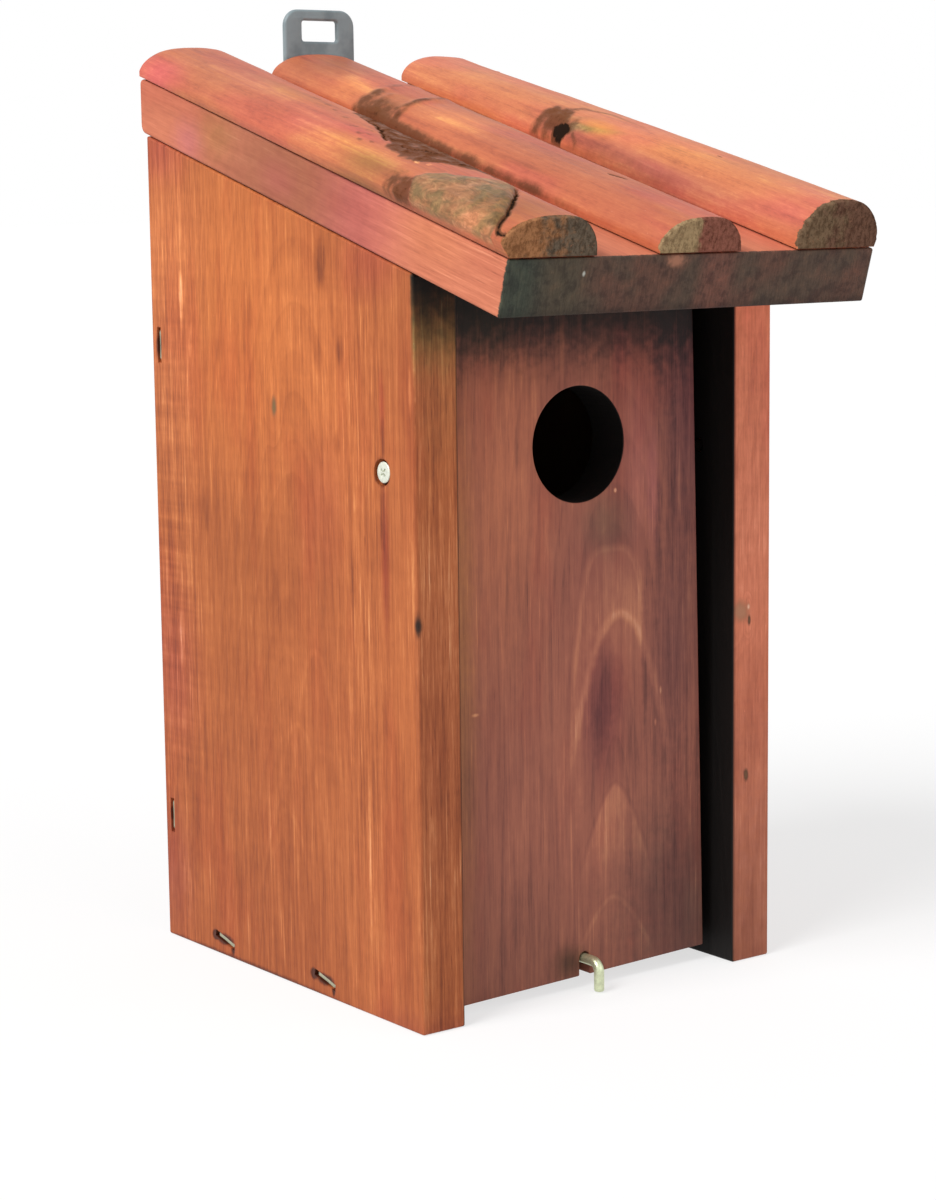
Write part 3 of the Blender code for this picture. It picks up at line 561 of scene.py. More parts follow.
LEFT_SPECKS = ((-50.3, 89.1), (-55.5, 78.3), (-54.2, 75), (-47.4, 98.5), (-45, 107), (-48.5, 84), (-51, 81),
               (-43.5, 113), (-42, 121), (-52.5, 83))
LEFT_FLECKS = ((-54.4, 53.6), (-53, 50.2))
# Painted shadow beside the knot, further up the slope
LEFT_KNOT_SHADOW = (-63.6, 46.5, 4.6, 9.5)
LEFT_PALE = ((((-51.4, 162), (-51.1, 130), (-51.2, 120)), 1.9, 0.55),
             (((-58, 104), (-60.2, 85), (-58.4, 57)), 2.8, 0.36),
             (((-54.5, 120), (-54, 92)), 1.6, 0.28), (((-47.5, 150), (-48, 128)), 1, 0.35))
MIDDLE_BANDS = (
    (((-16, 130.5), (-14.8, 134.6), (-11.9, 136.7), (-4.6, 140.7), (2.8, 142.1), (9, 143)), 2.6, 0.62),
    (((-16, 119), (-14.9, 120.9), (-10.9, 121.9), (-5.4, 124), (1.8, 124.7), (8, 127)), 1.7, 0.8),
    (((-16, 128.5), (-12.1, 132.3), (-8, 133.5)), 1.5, 0.65))
MIDDLE_DASH = ((1.8, 43.3), (2.4, 41), (3.6, 37.3))
MIDDLE_PALE = ((((-9.3, 140.5), (-7.4, 148), (-6.5, 156)), 2.6, 0.7), (((-8, 108), (-7, 92)), 2, 0.4))
RIGHT_HOLE = (34, 104.6, 1.5, 3)
RIGHT_HALO = (34.8, 109, 6, 8.5)
RIGHT_SPECK = (46.2, 49.3, 0.5, 1.4)
RIGHT_RIDGE = ((36, 112), (41.4, 110.8), (44.3, 109), (48.2, 99.7), (47.6, 89.4), (47, 80))
RIGHT_NICK = ((33.8, 99.5), (32.9, 96))
RIGHT_STREAKS = ((((35.2, 102), (36, 96), (37.2, 90), (39.5, 82)), 1.7, 0.8),
                 (((36.5, 105.5), (40, 101), (43.5, 92)), 2, 0.45))


def along_line(x, a, line):
    """Distance to a broken line, and the share of the way along it."""
    best, best_share = 1e9, 0.0
    for index, ((x0, a0), (x1, a1)) in enumerate(zip(line, line[1:])):
        dx, da = x1 - x0, a1 - a0
        t = min(max(((x - x0) * dx + (a - a0) * da) / (dx * dx + da * da), 0), 1)
        distance = hypot(x - x0 - t * dx, a - a0 - t * da)
        if distance < best:
            best, best_share = distance, (index + t) / (len(line) - 1)
    return best, best_share


def depth_in(x, a, outline):
    """Distance inside a closed outline, negative outside it."""
    closed = outline + outline[:1]
    inside = False
    for (x0, a0), (x1, a1) in zip(closed, closed[1:]):
        if (a0 > a) != (a1 > a) and x < x0 + (a - a0) * (x1 - x0) / (a1 - a0):
            inside = not inside
    distance, _ = along_line(x, a, closed)
    return distance if inside else -distance


def smooth(value, low, high):
    """0 at low, 1 at high, smooth between. With low over high it falls."""
    t = min(max((value - low) / (high - low), 0), 1)
    return t * t * (3 - 2 * t)


def fall(distance, width):
    return exp(-(distance / width) ** 2)


def ellipse(x, a, middle_x, middle_a, reach_x, reach_a):
    return hypot((x - middle_x) / reach_x, (a - middle_a) / reach_a)


def rough(x, a, scale, seed, octaves=3):
    return noise.fractal(Vector((x * scale, a * scale, seed)), 0.8, 2.1, octaves)


def crack(x, a, line, narrow, wider):
    """1 in a crack that is widest half way along."""
    distance, share = along_line(x, a, line)
    return fall(distance, narrow + wider * sin(pi * share))


def brightest(x, a, strokes):
    return max(strength * fall(along_line(x, a, line)[0], width) for line, width, strength in strokes)


def left_marks(x, a, seed):
    """Lift, dark, grey and pale at a place on the left log: knot, crack, bark, checks, specks and a painted
    shadow by the knot.
    """
    depth = depth_in(x, a, LEFT_KNOT) + 0.7 * rough(x, a, 0.3, seed)
    grey = smooth(depth, -0.4, 0.5)
    swirl = sin(1.15 * depth + 5 * rough(x, a, 0.06, seed + 5))
    lift = 0.75 * smooth(depth, -1.5, 3.5) + 0.1 * grey * swirl
    dark = 0.3 * fall(depth, 0.5) + 0.22 * grey * max(swirl, 0) ** 3
    distance, share = along_line(x + 0.5 * rough(x, a, 0.4, seed + 2), a, LEFT_CRACK)
    width = 0.3 + 0.45 * sin(pi * share)
    lift -= 0.7 * fall(distance, width + 0.3)
    dark = max(dark, 1.25 * fall(distance, width), 0.3 * fall(distance, 1.8))
    bark = smooth(depth_in(x, a, LEFT_BARK) + 1.6 * rough(x, a, 0.25, seed + 9), -1.4, 1.2)
    crumbs = rough(x, a, 0.28, seed + 12)
    lift += bark * (0.05 + 0.3 * crumbs)
    dark = max(dark, bark * (0.68 + 0.3 * crumbs))
    for line in LEFT_CHECKS:
        check = crack(x + 0.8 * rough(x, a, 0.3, seed + 3), a, line, 0.35, 0.45)
        lift -= 0.35 * check
        dark = max(dark, 1.1 * check)
    for middle in LEFT_SPECKS:
        speck = ellipse(x, a, *middle, 1, 1.9) + 0.6 * rough(x, a, 0.5, seed + 31)
        dark = max(dark, 0.42 * smooth(speck, 1.2, 0.3))
    # Painted shadow beside the knot, weaker over the knot itself
    knot_shadow = smooth(ellipse(x, a, *LEFT_KNOT_SHADOW) + 0.55 * rough(x, a, 0.22, seed), 1.3, 0.1) * (1 - 0.6 * grey)
    dark = max(dark, knot_shadow * (0.72 + 0.35 * rough(x, a, 0.5, seed + 6)))
    pale = brightest(x, a, LEFT_PALE)
    for middle in LEFT_FLECKS:
        fleck = smooth(ellipse(x, a, *middle, 0.9, 1.1), 1.1, 0.4)
        dark *= 1 - fleck
        pale = max(pale, 1.4 * fleck)
    return lift, dark, grey, pale


def middle_marks(x, a, seed):
    """The same for the middle log: a knot between two bands, a stained flank and a short crack."""
    lift, dark = 0.0, 0.0
    wavy = x + 1.4 * rough(x, a, 0.12, seed)
    for line, width, weight in MIDDLE_BANDS:
        distance, share = along_line(wavy, a, line)
        band = fall(distance, width)
        lift += band * (0.45 - 0.15 * share)
        dark = max(dark, band * weight * (0.85 + 0.6 * rough(x, a, 0.3, seed + 4)) * (1 - 0.45 * share))
    between = smooth(a, 120, 124) * smooth(a, 143, 138) * smooth(x, 11, 4)
    foot = smooth(x + 1.2 * rough(x, a, 0.2, seed + 8), -8.5, -13.5)
    dark = max(dark, between * (0.17 + 0.36 * foot * (1 + 0.5 * rough(x, a, 0.35, seed + 9))))
    flank = smooth(x + 0.7 * rough(x, a, 0.08, seed + 12), -13, -15.8)
    flank *= smooth(a, 8, 62) * smooth(a, 142, 134)
    dark = max(dark, flank * (0.72 + 0.22 * rough(x, a, 0.14, seed + 14)))
    dash = crack(x + 0.3 * rough(x, a, 0.6, seed), a, MIDDLE_DASH, 0.35, 0.3)
    grey = 0.3 * between * (1 - 0.5 * smooth(x, -12, 2))
    return lift + 0.3 * between - 0.3 * dash, max(dark, 0.9 * dash), grey, brightest(x, a, MIDDLE_PALE)


def right_marks(x, a, seed):
    """The same for the right log: a hole in a dark halo, a ridge, streaks and a stained flank."""
    hole = ellipse(x, a, *RIGHT_HOLE) + 0.25 * rough(x, a, 0.35, seed)
    lift = 0.35 * fall(hole - 2.2, 0.9) - 0.7 * smooth(hole, 1.1, 0.4)
    halo = ellipse(x, a, *RIGHT_HALO) + 0.5 * rough(x, a, 0.16, seed)
    ridge, share = along_line(x, a + 1.5 * rough(x, a, 0.2, seed + 3), RIGHT_RIDGE)
    nick, _ = along_line(x, a, RIGHT_NICK)
    flank = smooth(x, 35.6, 33.6) * smooth(a, 26, 60) * smooth(a, 112, 96)
    dark = max(1.3 * smooth(hole, 1.3, 0.8), 0.8 * smooth(halo, 1.2, 0.2), 0.45 * fall(nick, 0.6),
               (0.55 - 0.3 * share) * fall(ridge, 2 - share), 0.26 * flank,
               0.6 * smooth(ellipse(x, a, *RIGHT_SPECK), 1.2, 0.4))
    grey = 0.0
    for line, width, strength in RIGHT_STREAKS:
        distance, share = along_line(x, a, line)
        grey = max(grey, strength * fall(distance, width) * (1 - 0.7 * share))
    return lift, dark, grey, 0.0


MARKS = {"left": left_marks, "middle": middle_marks, "right": right_marks}
MARK_NAMES = ("dark", "grey", "pale", "end")
RIM_MARKS = (0.3, 0, 0, 0)
END_MARKS = (0, 0, 0, 1)
# Rings of a sawn end, as shares of its rim
END_RINGS = (0.985, 0.95, 0.88, 0.78, 0.66, 0.53, 0.4, 0.27, 0.14)
# Waves, dents and faint furrows of the skin: height, how fine across and along, and a shift
SKIN = ((0.28, 0.05, 0.018, 0), (0.1, 0.22, 0.07, 7), (0.035, 1.6, 0.05, 11))


def marked(shape, layers, place, marks):
    vertex = shape.verts.new(place)
    for layer, value in zip(layers, marks):
        vertex[layer] = value
    return vertex


def sculpt_log(log):
    """The log's skin, underside and two sawn ends as one closed mesh with its marks as attributes."""
    shape = bmesh.new()
    layers = [shape.verts.layers.float.new(name) for name in MARK_NAMES]

    def put(x, a, off, marks):
        place = eave_underside + (ACROSS * x + UP_SLOPE * a + OFF_ROOF * (off + log_seat)) * MM
        return marked(shape, layers, place, marks)

    rings = []
    for station in range(log_stations + 1):
        share = station / log_stations
        left, _, right, _ = log.round_span(share)
        middle, half = (left + right) / 2, (right - left) / 2
        lean = tan(roof_pitch) * max(station - log_stations + rear_stations, 0) / rear_stations
        ring = []
        for step in range(log_steps + 1):
            x = middle - half * cos(pi * step / log_steps)
            a = share * length_mm
            off = log.off_board(x, share)
            tear = 1.4 + log.tear * (0.5 + 1.5 * rough(x, off, 0.55, log.seed + 40, 1))
            end = smooth(a, tear, 0.4)
            if station == 0:
                a += 0.35 + 0.3 * max(rough(x, off, 0.9, log.seed + 21), 0)
                off -= 0.25
            lift, *marks = MARKS[log.name](x, a, log.seed)
            for height, across, along, shift in SKIN:
                lift += height * noise.noise(Vector((x * across, a * along, log.seed + shift)))
            hold = smooth(min(step, log_steps - step) / log_steps, 0, 0.07)
            off += lift * hold
            if station == log_stations:
                off -= 0.3 * hold
            ring.append(put(x, a + (off + log_seat) * lean, max(off, 0.25), (*marks, end)))
        left, right = log.span(share)
        foot = share * length_mm + log_seat * lean
        rings.append([put(left, foot, 0, RIM_MARKS), *ring, put(right, foot, 0, RIM_MARKS)])
    for near, far in zip(rings, rings[1:]):
        bridge(shape, near, far)
    close_end(shape, layers, rings[0], -UP_SLOPE, 0.3)
    close_end(shape, layers, rings[-1], BACKWARD, 0.05)
    return mesh_object("half_log_" + log.name, shape, 50)


def close_end(shape, layers, rim, outward, push):
    """A sawn end: rings of the rim drawn in to its middle, with saw marks and torn fibres."""
    centre = sum((vertex.co for vertex in rim), Vector()) / len(rim)
    previous = rim
    for order, share in enumerate(END_RINGS):
        ring = []
        for vertex in rim:
            place = centre + (vertex.co - centre) * share
            fibres = noise.fractal(place * 700, 0.9, 2.0, 3)
            saw = sin(place.x * 2600 + 2 * noise.noise(place * 200))
            out = push * smooth(order, -1, 1) + 0.12 * fibres + 0.04 * saw
            ring.append(marked(shape, layers, place + outward * out * MM, END_MARKS))
        bridge(shape, previous, ring)
        previous = ring
    fan(shape, previous, marked(shape, layers, centre + outward * 0.3 * MM, END_MARKS))


LOG_TONES = ((0.155, 0.038, 0.018), (0.36, 0.088, 0.043), (0.53, 0.142, 0.063),
             (0.6, 0.18, 0.076), (0.72, 0.28, 0.105), (0.9, 0.5, 0.21))
KNOT_TONES = ((0.12, 0.046, 0.02), (0.25, 0.105, 0.042), (0.38, 0.16, 0.068),
              (0.52, 0.24, 0.112), (0.78, 0.44, 0.24))
MOSS_TONES = ((0.055, 0.032, 0.011), (0.13, 0.077, 0.029), (0.22, 0.128, 0.048),
              (0.33, 0.19, 0.074), (0.54, 0.32, 0.13))
# Sawn ends: colours left and right of the middle, and how sharply they change across
END_COLOURS = {
    "left": ((0.42, 0.19, 0.085), (0.16, 0.12, 0.084), 0.022),
    "middle": ((0.42, 0.29, 0.155), (0.29, 0.11, 0.077), 0.16),
    "right": ((0.21, 0.135, 0.08), (0.178, 0.092, 0.061), 0.03),
}
LOG_TINTS = {
    "left": ((-52, 10, 18, 20, (0.72, 0.7, 0.48)), (-50, 150, 30, 44, (0.94, 1.02, 1.02)),
             (-50, 100, 30, 34, (1.02, 1, 0.96)), (-62, 174, 10, 18, (1.1, 0.85, 1.35)),
             (-61.8, 64, 5, 22, (0.62, 0.8, 0.55)), (-58.5, 78, 7, 26, (1.12, 1.22, 0.94)),
             (-47, 122, 6, 26, (1.12, 1.24, 0.95)), (-57, 100, 6, 16, (1, 0.84, 1.15)),
             (-52, 86, 5, 22, (1.05, 0.86, 1.15)), (-64, 13, 5, 13, (1.45, 1.3, 1.35))),
    "middle": ((0, 172, 26, 22, (0.72, 0.8, 0.86)), (-9, 148, 9, 14, (1.3, 1.5, 1.2)),
               (11, 110, 9, 50, (0.7, 0.72, 0.8)), (-5, 104, 10, 22, (1.26, 1.36, 1.18)),
               (0, 60, 22, 44, (0.92, 0.94, 0.98)), (-6, 16, 22, 30, (0.9, 0.84, 0.92))),
    "right": ((45, 90, 30, 300, (1.14, 1.36, 1.32)), (45, 170, 24, 30, (1.04, 1.08, 1.1)),
              (44, 62, 12, 34, (1.16, 1.3, 1.04)), (34, 60, 3.5, 60, (0.72, 0.64, 0.9)),
              (52, 40, 6, 60, (0.92, 1, 0.86)), (40, 8, 16, 16, (0.98, 0.86, 1.05)),
              (38, 92, 5, 12, (1.1, 1.4, 0.7))),
}


def log_wood(log):
    """Stained log: soft fibres, pink and orange bands, weathered grey and dark marks, sawn ends."""
    g = Graph("stained_log_" + log.name, specular=0.3)
    place = g.wood_place(eave_underside, ACROSS, OFF_ROOF, UP_SLOPE)
    spun = g.vector("ADD", place, (log.seed,) * 3)
    dark, grey, pale, end = (g.add("Attribute", attribute_name=name, output="Fac") for name in MARK_NAMES)
    streak = g.grain(spun, 0.05, 0.35, 3, 0.6)
    fibre = g.grain(spun, 0.035, 1.5, 3, 0.65)
    fine = g.grain(spun, 0.15, 3.2, 3, 0.7)
    blotch = g.grain(spun, 0.4, 0.09, 4, 0.6)
    mottle = g.grain(spun, 0.6, 0.5, 4, 0.7)
    swirl = g.grain(spun, 0.6, 0.35, 4, 0.7, 1.2)
    pink = g.step(g.grain(spun, 0.3, 0.07, 2, 0.5), 0.44, 0.62)
    moss = g.step(g.noise(spun, 0.13, 3, 0.6), 0.4, 0.62)
    speck = g.step(g.noise(spun, 1.2, 2, 0.6), 0.72, 0.78)
    glint = g.step(g.noise(g.vector("ADD", spun, (31, 7, 3)), 0.8, 3, 0.7), 0.72, 0.8)
    tone = 0.5
    for value, weight in ((streak, 0.55), (fibre, 0.35), (fine, 0.28), (blotch, 0.5), (mottle, 0.38)):
        tone = g.vary(tone, value, weight)
    tone = g.gain(tone, pale, g.gain(0.0, fibre, 0.7))
    colour = g.tint(g.ramp(tone, LOG_TONES), g.times(pink, 0.75), (1, 0.78, 1.05))
    knot_wood = g.mix(moss, g.ramp(swirl, KNOT_TONES), g.ramp(swirl, MOSS_TONES))
    colour = g.mix(g.step(grey, 0.1, 0.8), colour, knot_wood)
    for *spot, value in LOG_TINTS[log.name]:
        colour = g.tint(colour, g.near(place, spot, edge=0.0), value)
    broken = g.plus(dark, g.swing(g.noise(spun, 0.55, 3, 0.7), dark))
    colour = g.mix(g.times(g.step(broken, 0.1, 0.6), 0.86), colour, (0.115, 0.05, 0.026))
    colour = g.mix(g.step(broken, 0.75, 1.15), colour, (0.022, 0.013, 0.009))
    colour = g.mix(g.times(speck, 0.55), colour, (0.16, 0.055, 0.03))
    colour = g.mix(g.times(glint, 0.7), colour, (0.96, 0.6, 0.42))
    saw = g.stretched(spun, 1, 0.6, 1, 0.8, 4, 0.75)
    grit = g.noise(spun, 1.1, 3, 0.75)
    left_wood, right_wood, change = END_COLOURS[log.name]
    left, right = log.span(0)
    middle = left + (right - left) * 0.45
    drift = g.gain(0.5 - change * middle, g.split(place)[0], change)
    drift = g.plus(drift, g.swing(g.noise(place, 0.25, 3, 0.6), 0.9))
    end_wood = g.mix(g.step(drift, 0.35, 0.65), left_wood, right_wood)
    end_wood = g.tint(end_wood, g.step(saw, 0.62, 0.35), (0.5, 0.47, 0.46))
    end_wood = g.mix(g.times(g.step(grit, 0.58, 0.76), 0.6), end_wood, (0.36, 0.16, 0.09))
    end_wood = g.mix(g.times(g.step(grit, 0.42, 0.28), 0.6), end_wood, (0.035, 0.024, 0.018))
    torn = g.plus(end, g.swing(g.noise(spun, 1.3, 3, 0.7), 1.1))
    colour = g.mix(g.step(torn, 0.42, 0.58), colour, end_wood)
    height = g.plus(tone, g.times(g.plus(saw, g.noise(place, 2.0, 4, 0.7)), g.plus(end, dark)))
    g.give("Specular IOR Level", g.times(g.step(g.plus(broken, end), 0.8, 0.0), 0.3))
    return g.finish(colour, g.vary(0.52, fibre, 0.25), height, relief=0.0002, strength=0.5)


# Metal and plastic
def zinc(name, tint, roughness, metallic, dirt=0.3, shade_within=None):
    """Zinc-plated steel with cloudy plating, fine scratches and some dirt, and painted shade, black and
    without sheen, near the box's middle.
    """
    g = Graph(name, roughness, metallic)
    place = g.millimetres()
    cloud = g.noise(place, 0.9, 3, 0.6)
    scratch = g.stretched(place, 1, 6, 1, 1.4, 2, 0.7)
    spots = g.step(g.noise(place, 1.8, 3, 0.7), 0.58, 0.72)
    colour = g.mix(g.step(cloud, 0.3, 0.7), tuple(share * 0.78 for share in tint), tint)
    colour = g.mix(g.times(spots, dirt), colour, (0.1, 0.07, 0.045))
    # Painted shade: within this distance of the box's middle a shank turns near-black and loses its metal
    # sheen
    if shade_within is not None:
        off_middle = g.math("ABSOLUTE", g.split(place)[0])
        painted_shade = g.step(off_middle, shade_within, shade_within - 1.5)
        unshaded = g.less(1.0, painted_shade)
        colour = g.mix(painted_shade, colour, PAINTED_SHADE_BLACK)
        g.give("Metallic", g.times(unshaded, metallic))
        g.give("Specular IOR Level", g.times(unshaded, 0.5))
    return g.finish(colour, g.vary(roughness, scratch, 0.3), scratch, relief=0.00004, strength=0.4)


def moulded_plastic():
    g = Graph("grey_plastic")
    place = g.millimetres()
    grain = g.noise(place, 3.5, 2, 0.6)
    cloud = g.noise(place, 0.12, 3, 0.6)
    dust = g.step(g.grain(place, 0.4, 0.35, 4, 0.7), 0.52, 0.75)
    colour = g.mix(g.step(cloud, 0.35, 0.65), (0.165, 0.212, 0.228), (0.25, 0.31, 0.33))
    colour = g.mix(g.times(dust, 0.3), colour, (0.3, 0.33, 0.33))
    return g.finish(colour, g.vary(0.46, grain, 0.2), grain, relief=0.00005, strength=0.5)


def tube(name, rings, segments=32):
    """A closed tube through (centre, side, other side, radius) rings; radius may depend on the angle."""
    shape = bmesh.new()
    loops = []
    for centre, first, second, radius in rings:
        loop = []
        for index in range(segments):
            angle = 2 * pi * index / segments
            reach = radius(angle) if callable(radius) else radius
            loop.append(shape.verts.new(centre + (first * cos(angle) + second * sin(angle)) * reach))
        loops.append(loop)
    for near, far in zip(loops, loops[1:]):
        bridge(shape, near, far)
    for loop, ring in ((loops[0], rings[0]), (loops[-1], rings[-1])):
        fan(shape, loop, shape.verts.new(ring[0]))
    return mesh_object(name, shape)


def cut_away(item, cutter):
    """Takes the cutter's shape out of the item for good."""
    boolean = item.modifiers.new("cut", "BOOLEAN")
    boolean.operation = "DIFFERENCE"
    boolean.solver = "MANIFOLD"
    boolean.object = cutter
    bpy.context.view_layer.update()
    evaluated = item.evaluated_get(bpy.context.evaluated_depsgraph_get())
    mesh = bpy.data.meshes.new_from_object(evaluated)
    item.modifiers.clear()
    item.data = mesh
    bpy.data.objects.remove(cutter, do_unlink=True)
    mesh.shade_smooth()
    mesh.set_sharp_from_angle(angle=radians(35))


def thread(start, end, pitch, core, outer):
    """Depths along a screw thread, eight to a turn, each with the radius as it turns round."""
    depth = start
    while depth < end:
        def radius(angle, depth=depth):
            phase = (depth / pitch + angle / (2 * pi)) % 1
            return core + (outer - core) * max(0, 1 - abs(phase - 0.5) * 3.2)
        yield depth, radius
        depth += pitch / 8


def cross_recess(seat, outward, size, depth):
    """Cutter for a cross recess: two tapered blades."""
    first = outward.orthogonal().normalized()
    second = outward.cross(first)
    shape = bmesh.new()
    for blade, thin in ((first, second), (second, first)):
        ends = []
        for height, reach, width in ((0.5 * MM, size, size * 0.17), (-depth, size * 0.35, size * 0.12)):
            middle = seat + outward * height
            ends.append([shape.verts.new(middle + blade * along * reach + thin * beside * width)
                         for along, beside in ((-1, -1), (1, -1), (1, 1), (-1, 1))])
        bridge(shape, *ends)
        for end in ends:
            shape.faces.new(end)
    return mesh_object("recess", shape)


# A screw head's millimetres below its top, each with a share of its width
HEAD_PROFILE = ((0, 0.3), (0.02, 0.42), (0.08, 0.475), (0.22, 0.5), (0.45, 0.5), (0.6, 0.49))


def countersunk_screw(name, node, body, outward, head, shank, material):
    """Countersunk screw with a cross recess and a thread, in the place of its CAD node."""
    low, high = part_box(node)
    length = abs((high - low).dot(outward))
    seat = (low + high) / 2 + outward * length / 2
    first = outward.orthogonal().normalized()
    second = outward.cross(first)
    pitch, recess_depth, tip = 1.3 * MM, 1.5 * MM, 0.1 * MM
    core = shank * 0.34
    neck = HEAD_PROFILE[-1][0] * MM + (head - shank) / 2
    plain_end = neck + 0.4 * MM
    profile = (*((depth * MM, head * share) for depth, share in HEAD_PROFILE), (neck, shank * 0.46),
               *thread(plain_end, length - shank, pitch, core, shank * 0.5),
               (length - shank * 0.9, core), (length - tip, shank * 0.06))
    screw = tube(name, [(seat - outward * depth, first, second, radius) for depth, radius in profile], 48)
    cut_away(screw, cross_recess(seat, outward, head * 0.3, recess_depth))
    stand_in(screw, material, body, node)


def make_hook():
    """Wire hook: a threaded shank in the floor, a bend, and an arm with a rounded end."""
    wire = hook_high.x - hook_low.x
    x = (hook_low.x + hook_high.x) / 2
    arm_y = hook_low.y + wire / 2
    axis_z = hook_high.z - wire / 2
    tip, thread_start, thread_end, pitch = 1.6 * MM, 1.8 * MM, 11 * MM, 1.1 * MM
    bend = 2.6 * MM
    bend_steps = 16
    rings = []

    def ring(y, z, radius, angle=0.0):
        """A ring round the wire, which runs forward at no angle and down at a right angle."""
        direction = -BACKWARD * cos(angle) - UP * sin(angle)
        rings.append((Vector((x, y, z)), ACROSS, direction.cross(ACROSS), radius))

    for depth, radius in ((0, wire * 0.08), (tip, wire * 0.34),
                          *thread(thread_start, thread_end, pitch, wire * 0.35, wire * 0.49)):
        ring(hook_high.y - depth, axis_z, radius)
    plain_start = hook_high.y - thread_end
    for share in (0, 0.02, 0.5, 1):
        ring(plain_start + (arm_y + bend - plain_start) * share, axis_z, wire / 2)
    for step in range(1, bend_steps + 1):
        angle = pi / 2 * step / bend_steps
        ring(arm_y + bend * (1 - sin(angle)), axis_z - bend * (1 - cos(angle)), wire / 2, angle)
    for rise, share in ((0.55, 1), (0.3, 0.97), (0.12, 0.88), (0.03, 0.72), (0, 0.45)):
        ring(arm_y, hook_low.z + rise * MM, wire / 2 * share, pi / 2)
    steel = zinc("hook_zinc", (0.72, 0.78, 0.52), 0.34, 0.75, dirt=0.25)
    stand_in(tube("wire_hook", rings), steel, "latch", "latch_hook")


def make_staple(node, material):
    """Wire staple: two legs and a crown with rounded corners, its middle slightly sunk."""
    tall, thick, crown, corner, sunk = 1.1 * MM, 1.4 * MM, 9.8 * MM, 0.9 * MM, 0.1 * MM
    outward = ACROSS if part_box(node)[0].x > 0 else -ACROSS
    points = [vertex.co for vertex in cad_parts[node].data.vertices]
    top = max(point.dot(outward) for point in points)
    leg = top - min(point.dot(outward) for point in points)
    crown_points = [point for point in points if point.dot(outward) > top - 0.1 * MM]
    centre = sum(crown_points, Vector()) / len(crown_points)
    far = max(crown_points, key=lambda point: (point - centre).length) - centre
    direction = long_axis(far, outward, crown, thick)
    beside = outward.cross(direction)
    half = crown / 2 - tall / 2
    start = [(-half, depth, 0) for depth in (leg - 0.2 * MM, leg * 0.6, leg * 0.3, tall / 2 + corner)]
    for step in range(1, 6):
        turn = pi / 2 * step / 6
        start.append((-half + corner * (1 - cos(turn)), tall / 2 + corner * (1 - sin(turn)), turn))
    for share in (-1, -0.6, -0.2):
        start.append((share * (half - corner), tall / 2 + sunk * (1 - share * share), pi / 2))
    path = start + [(-along, depth, pi - turn) for along, depth, turn in reversed(start)]

    def section(angle):
        wide, high = thick / 2 * 0.96, tall / 2 * 0.96
        return 1 / ((abs(cos(angle)) / wide) ** 4 + (abs(sin(angle)) / high) ** 4) ** 0.25

    rings = [(centre + direction * along - outward * depth, beside,
              outward * sin(turn) - direction * cos(turn), section) for along, depth, turn in path]
    stand_in(tube("wire_" + node, rings, 16), material, "box", node)


def long_axis(corner, outward, length, width):
    """Long axis of a flat rectangle from its middle to a corner: the steeper of the two that fit."""
    flat = (corner - outward * corner.dot(outward)).normalized()
    turn = width / hypot(length, width)
    lean = flat * sqrt(1 - turn * turn)
    beside = outward.cross(flat) * turn
    return lean + beside if abs((lean + beside).z) > abs((lean - beside).z) else lean - beside


def rounded(left, right, foot, top, foot_radius, top_radius, steps=10):
    """Points of an upright rectangle with rounded corners, from the lower left one round."""
    points = []
    for index, radius in enumerate((foot_radius, foot_radius, top_radius, top_radius)):
        x = right - radius if index in (1, 2) else left + radius
        z = top - radius if index > 1 else foot + radius
        for step in range(steps + 1):
            angle = pi / 2 * (index + 2 + step / steps)
            points.append((x + radius * cos(angle), z + radius * sin(angle)))
    return points


def make_hanger(screw_places):
    """Moulded plate with a rounded rim and a slot, and seats for its two screws."""
    rim = 0.75 * MM
    foot_radius, top_radius, slot_radius = 1.5 * MM, 5 * MM, 0.9 * MM
    slot_half, slot_rise, slot_drop = 6.4 * MM, 3.1 * MM, 6.4 * MM
    curve = bpy.data.curves.new("hanger_outline", "CURVE")
    curve.dimensions = "2D"
    curve.fill_mode = "BOTH"
    curve.extrude = (plate_high.y - plate_low.y) / 2 - rim
    curve.bevel_depth = rim
    curve.bevel_resolution = 4
    curve.offset = -rim
    middle = (plate_low.x + plate_high.x) / 2
    slot_z = plate_high.z - slot_drop
    outline = rounded(plate_low.x, plate_high.x, plate_low.z, plate_high.z, foot_radius, top_radius)
    slot = rounded(middle - slot_half, middle + slot_half, slot_z - slot_rise, slot_z + slot_rise,
                   slot_radius, slot_radius)
    for points in (outline, slot):
        spline = curve.splines.new("POLY")
        spline.points.add(len(points) - 1)
        spline.use_cyclic_u = True
        for point, (x, z) in zip(spline.points, points):
            point.co = (x, z, 0, 1)
    drawn = bpy.data.objects.new("hanger_drawn", curve)
    bpy.context.scene.collection.objects.link(drawn)
    bpy.context.view_layer.update()
    shape = bmesh.new()
    shape.from_mesh(drawn.evaluated_get(bpy.context.evaluated_depsgraph_get()).to_mesh())
    bpy.data.objects.remove(drawn, do_unlink=True)
    bmesh.ops.remove_doubles(shape, verts=shape.verts, dist=0.00001)
    plate_middle = BACKWARD * (plate_low.y + plate_high.y) / 2
    shape.transform(Matrix.Translation(plate_middle) @ Matrix.Rotation(pi / 2, 4, "X"))
    plate = mesh_object("moulded_hanger", shape)
    for place in screw_places:
        rings = [(place + BACKWARD * y * MM, ACROSS, UP, radius * MM)
                 for y, radius in ((1, 3.4), (0.05, 3.4), (-0.3, 3.4), (-1.95, 1.8), (-3.2, 1.8))]
        cut_away(plate, tube("seat", rings))
    stand_in(plate, moulded_plastic(), "box", "hanger_plate")


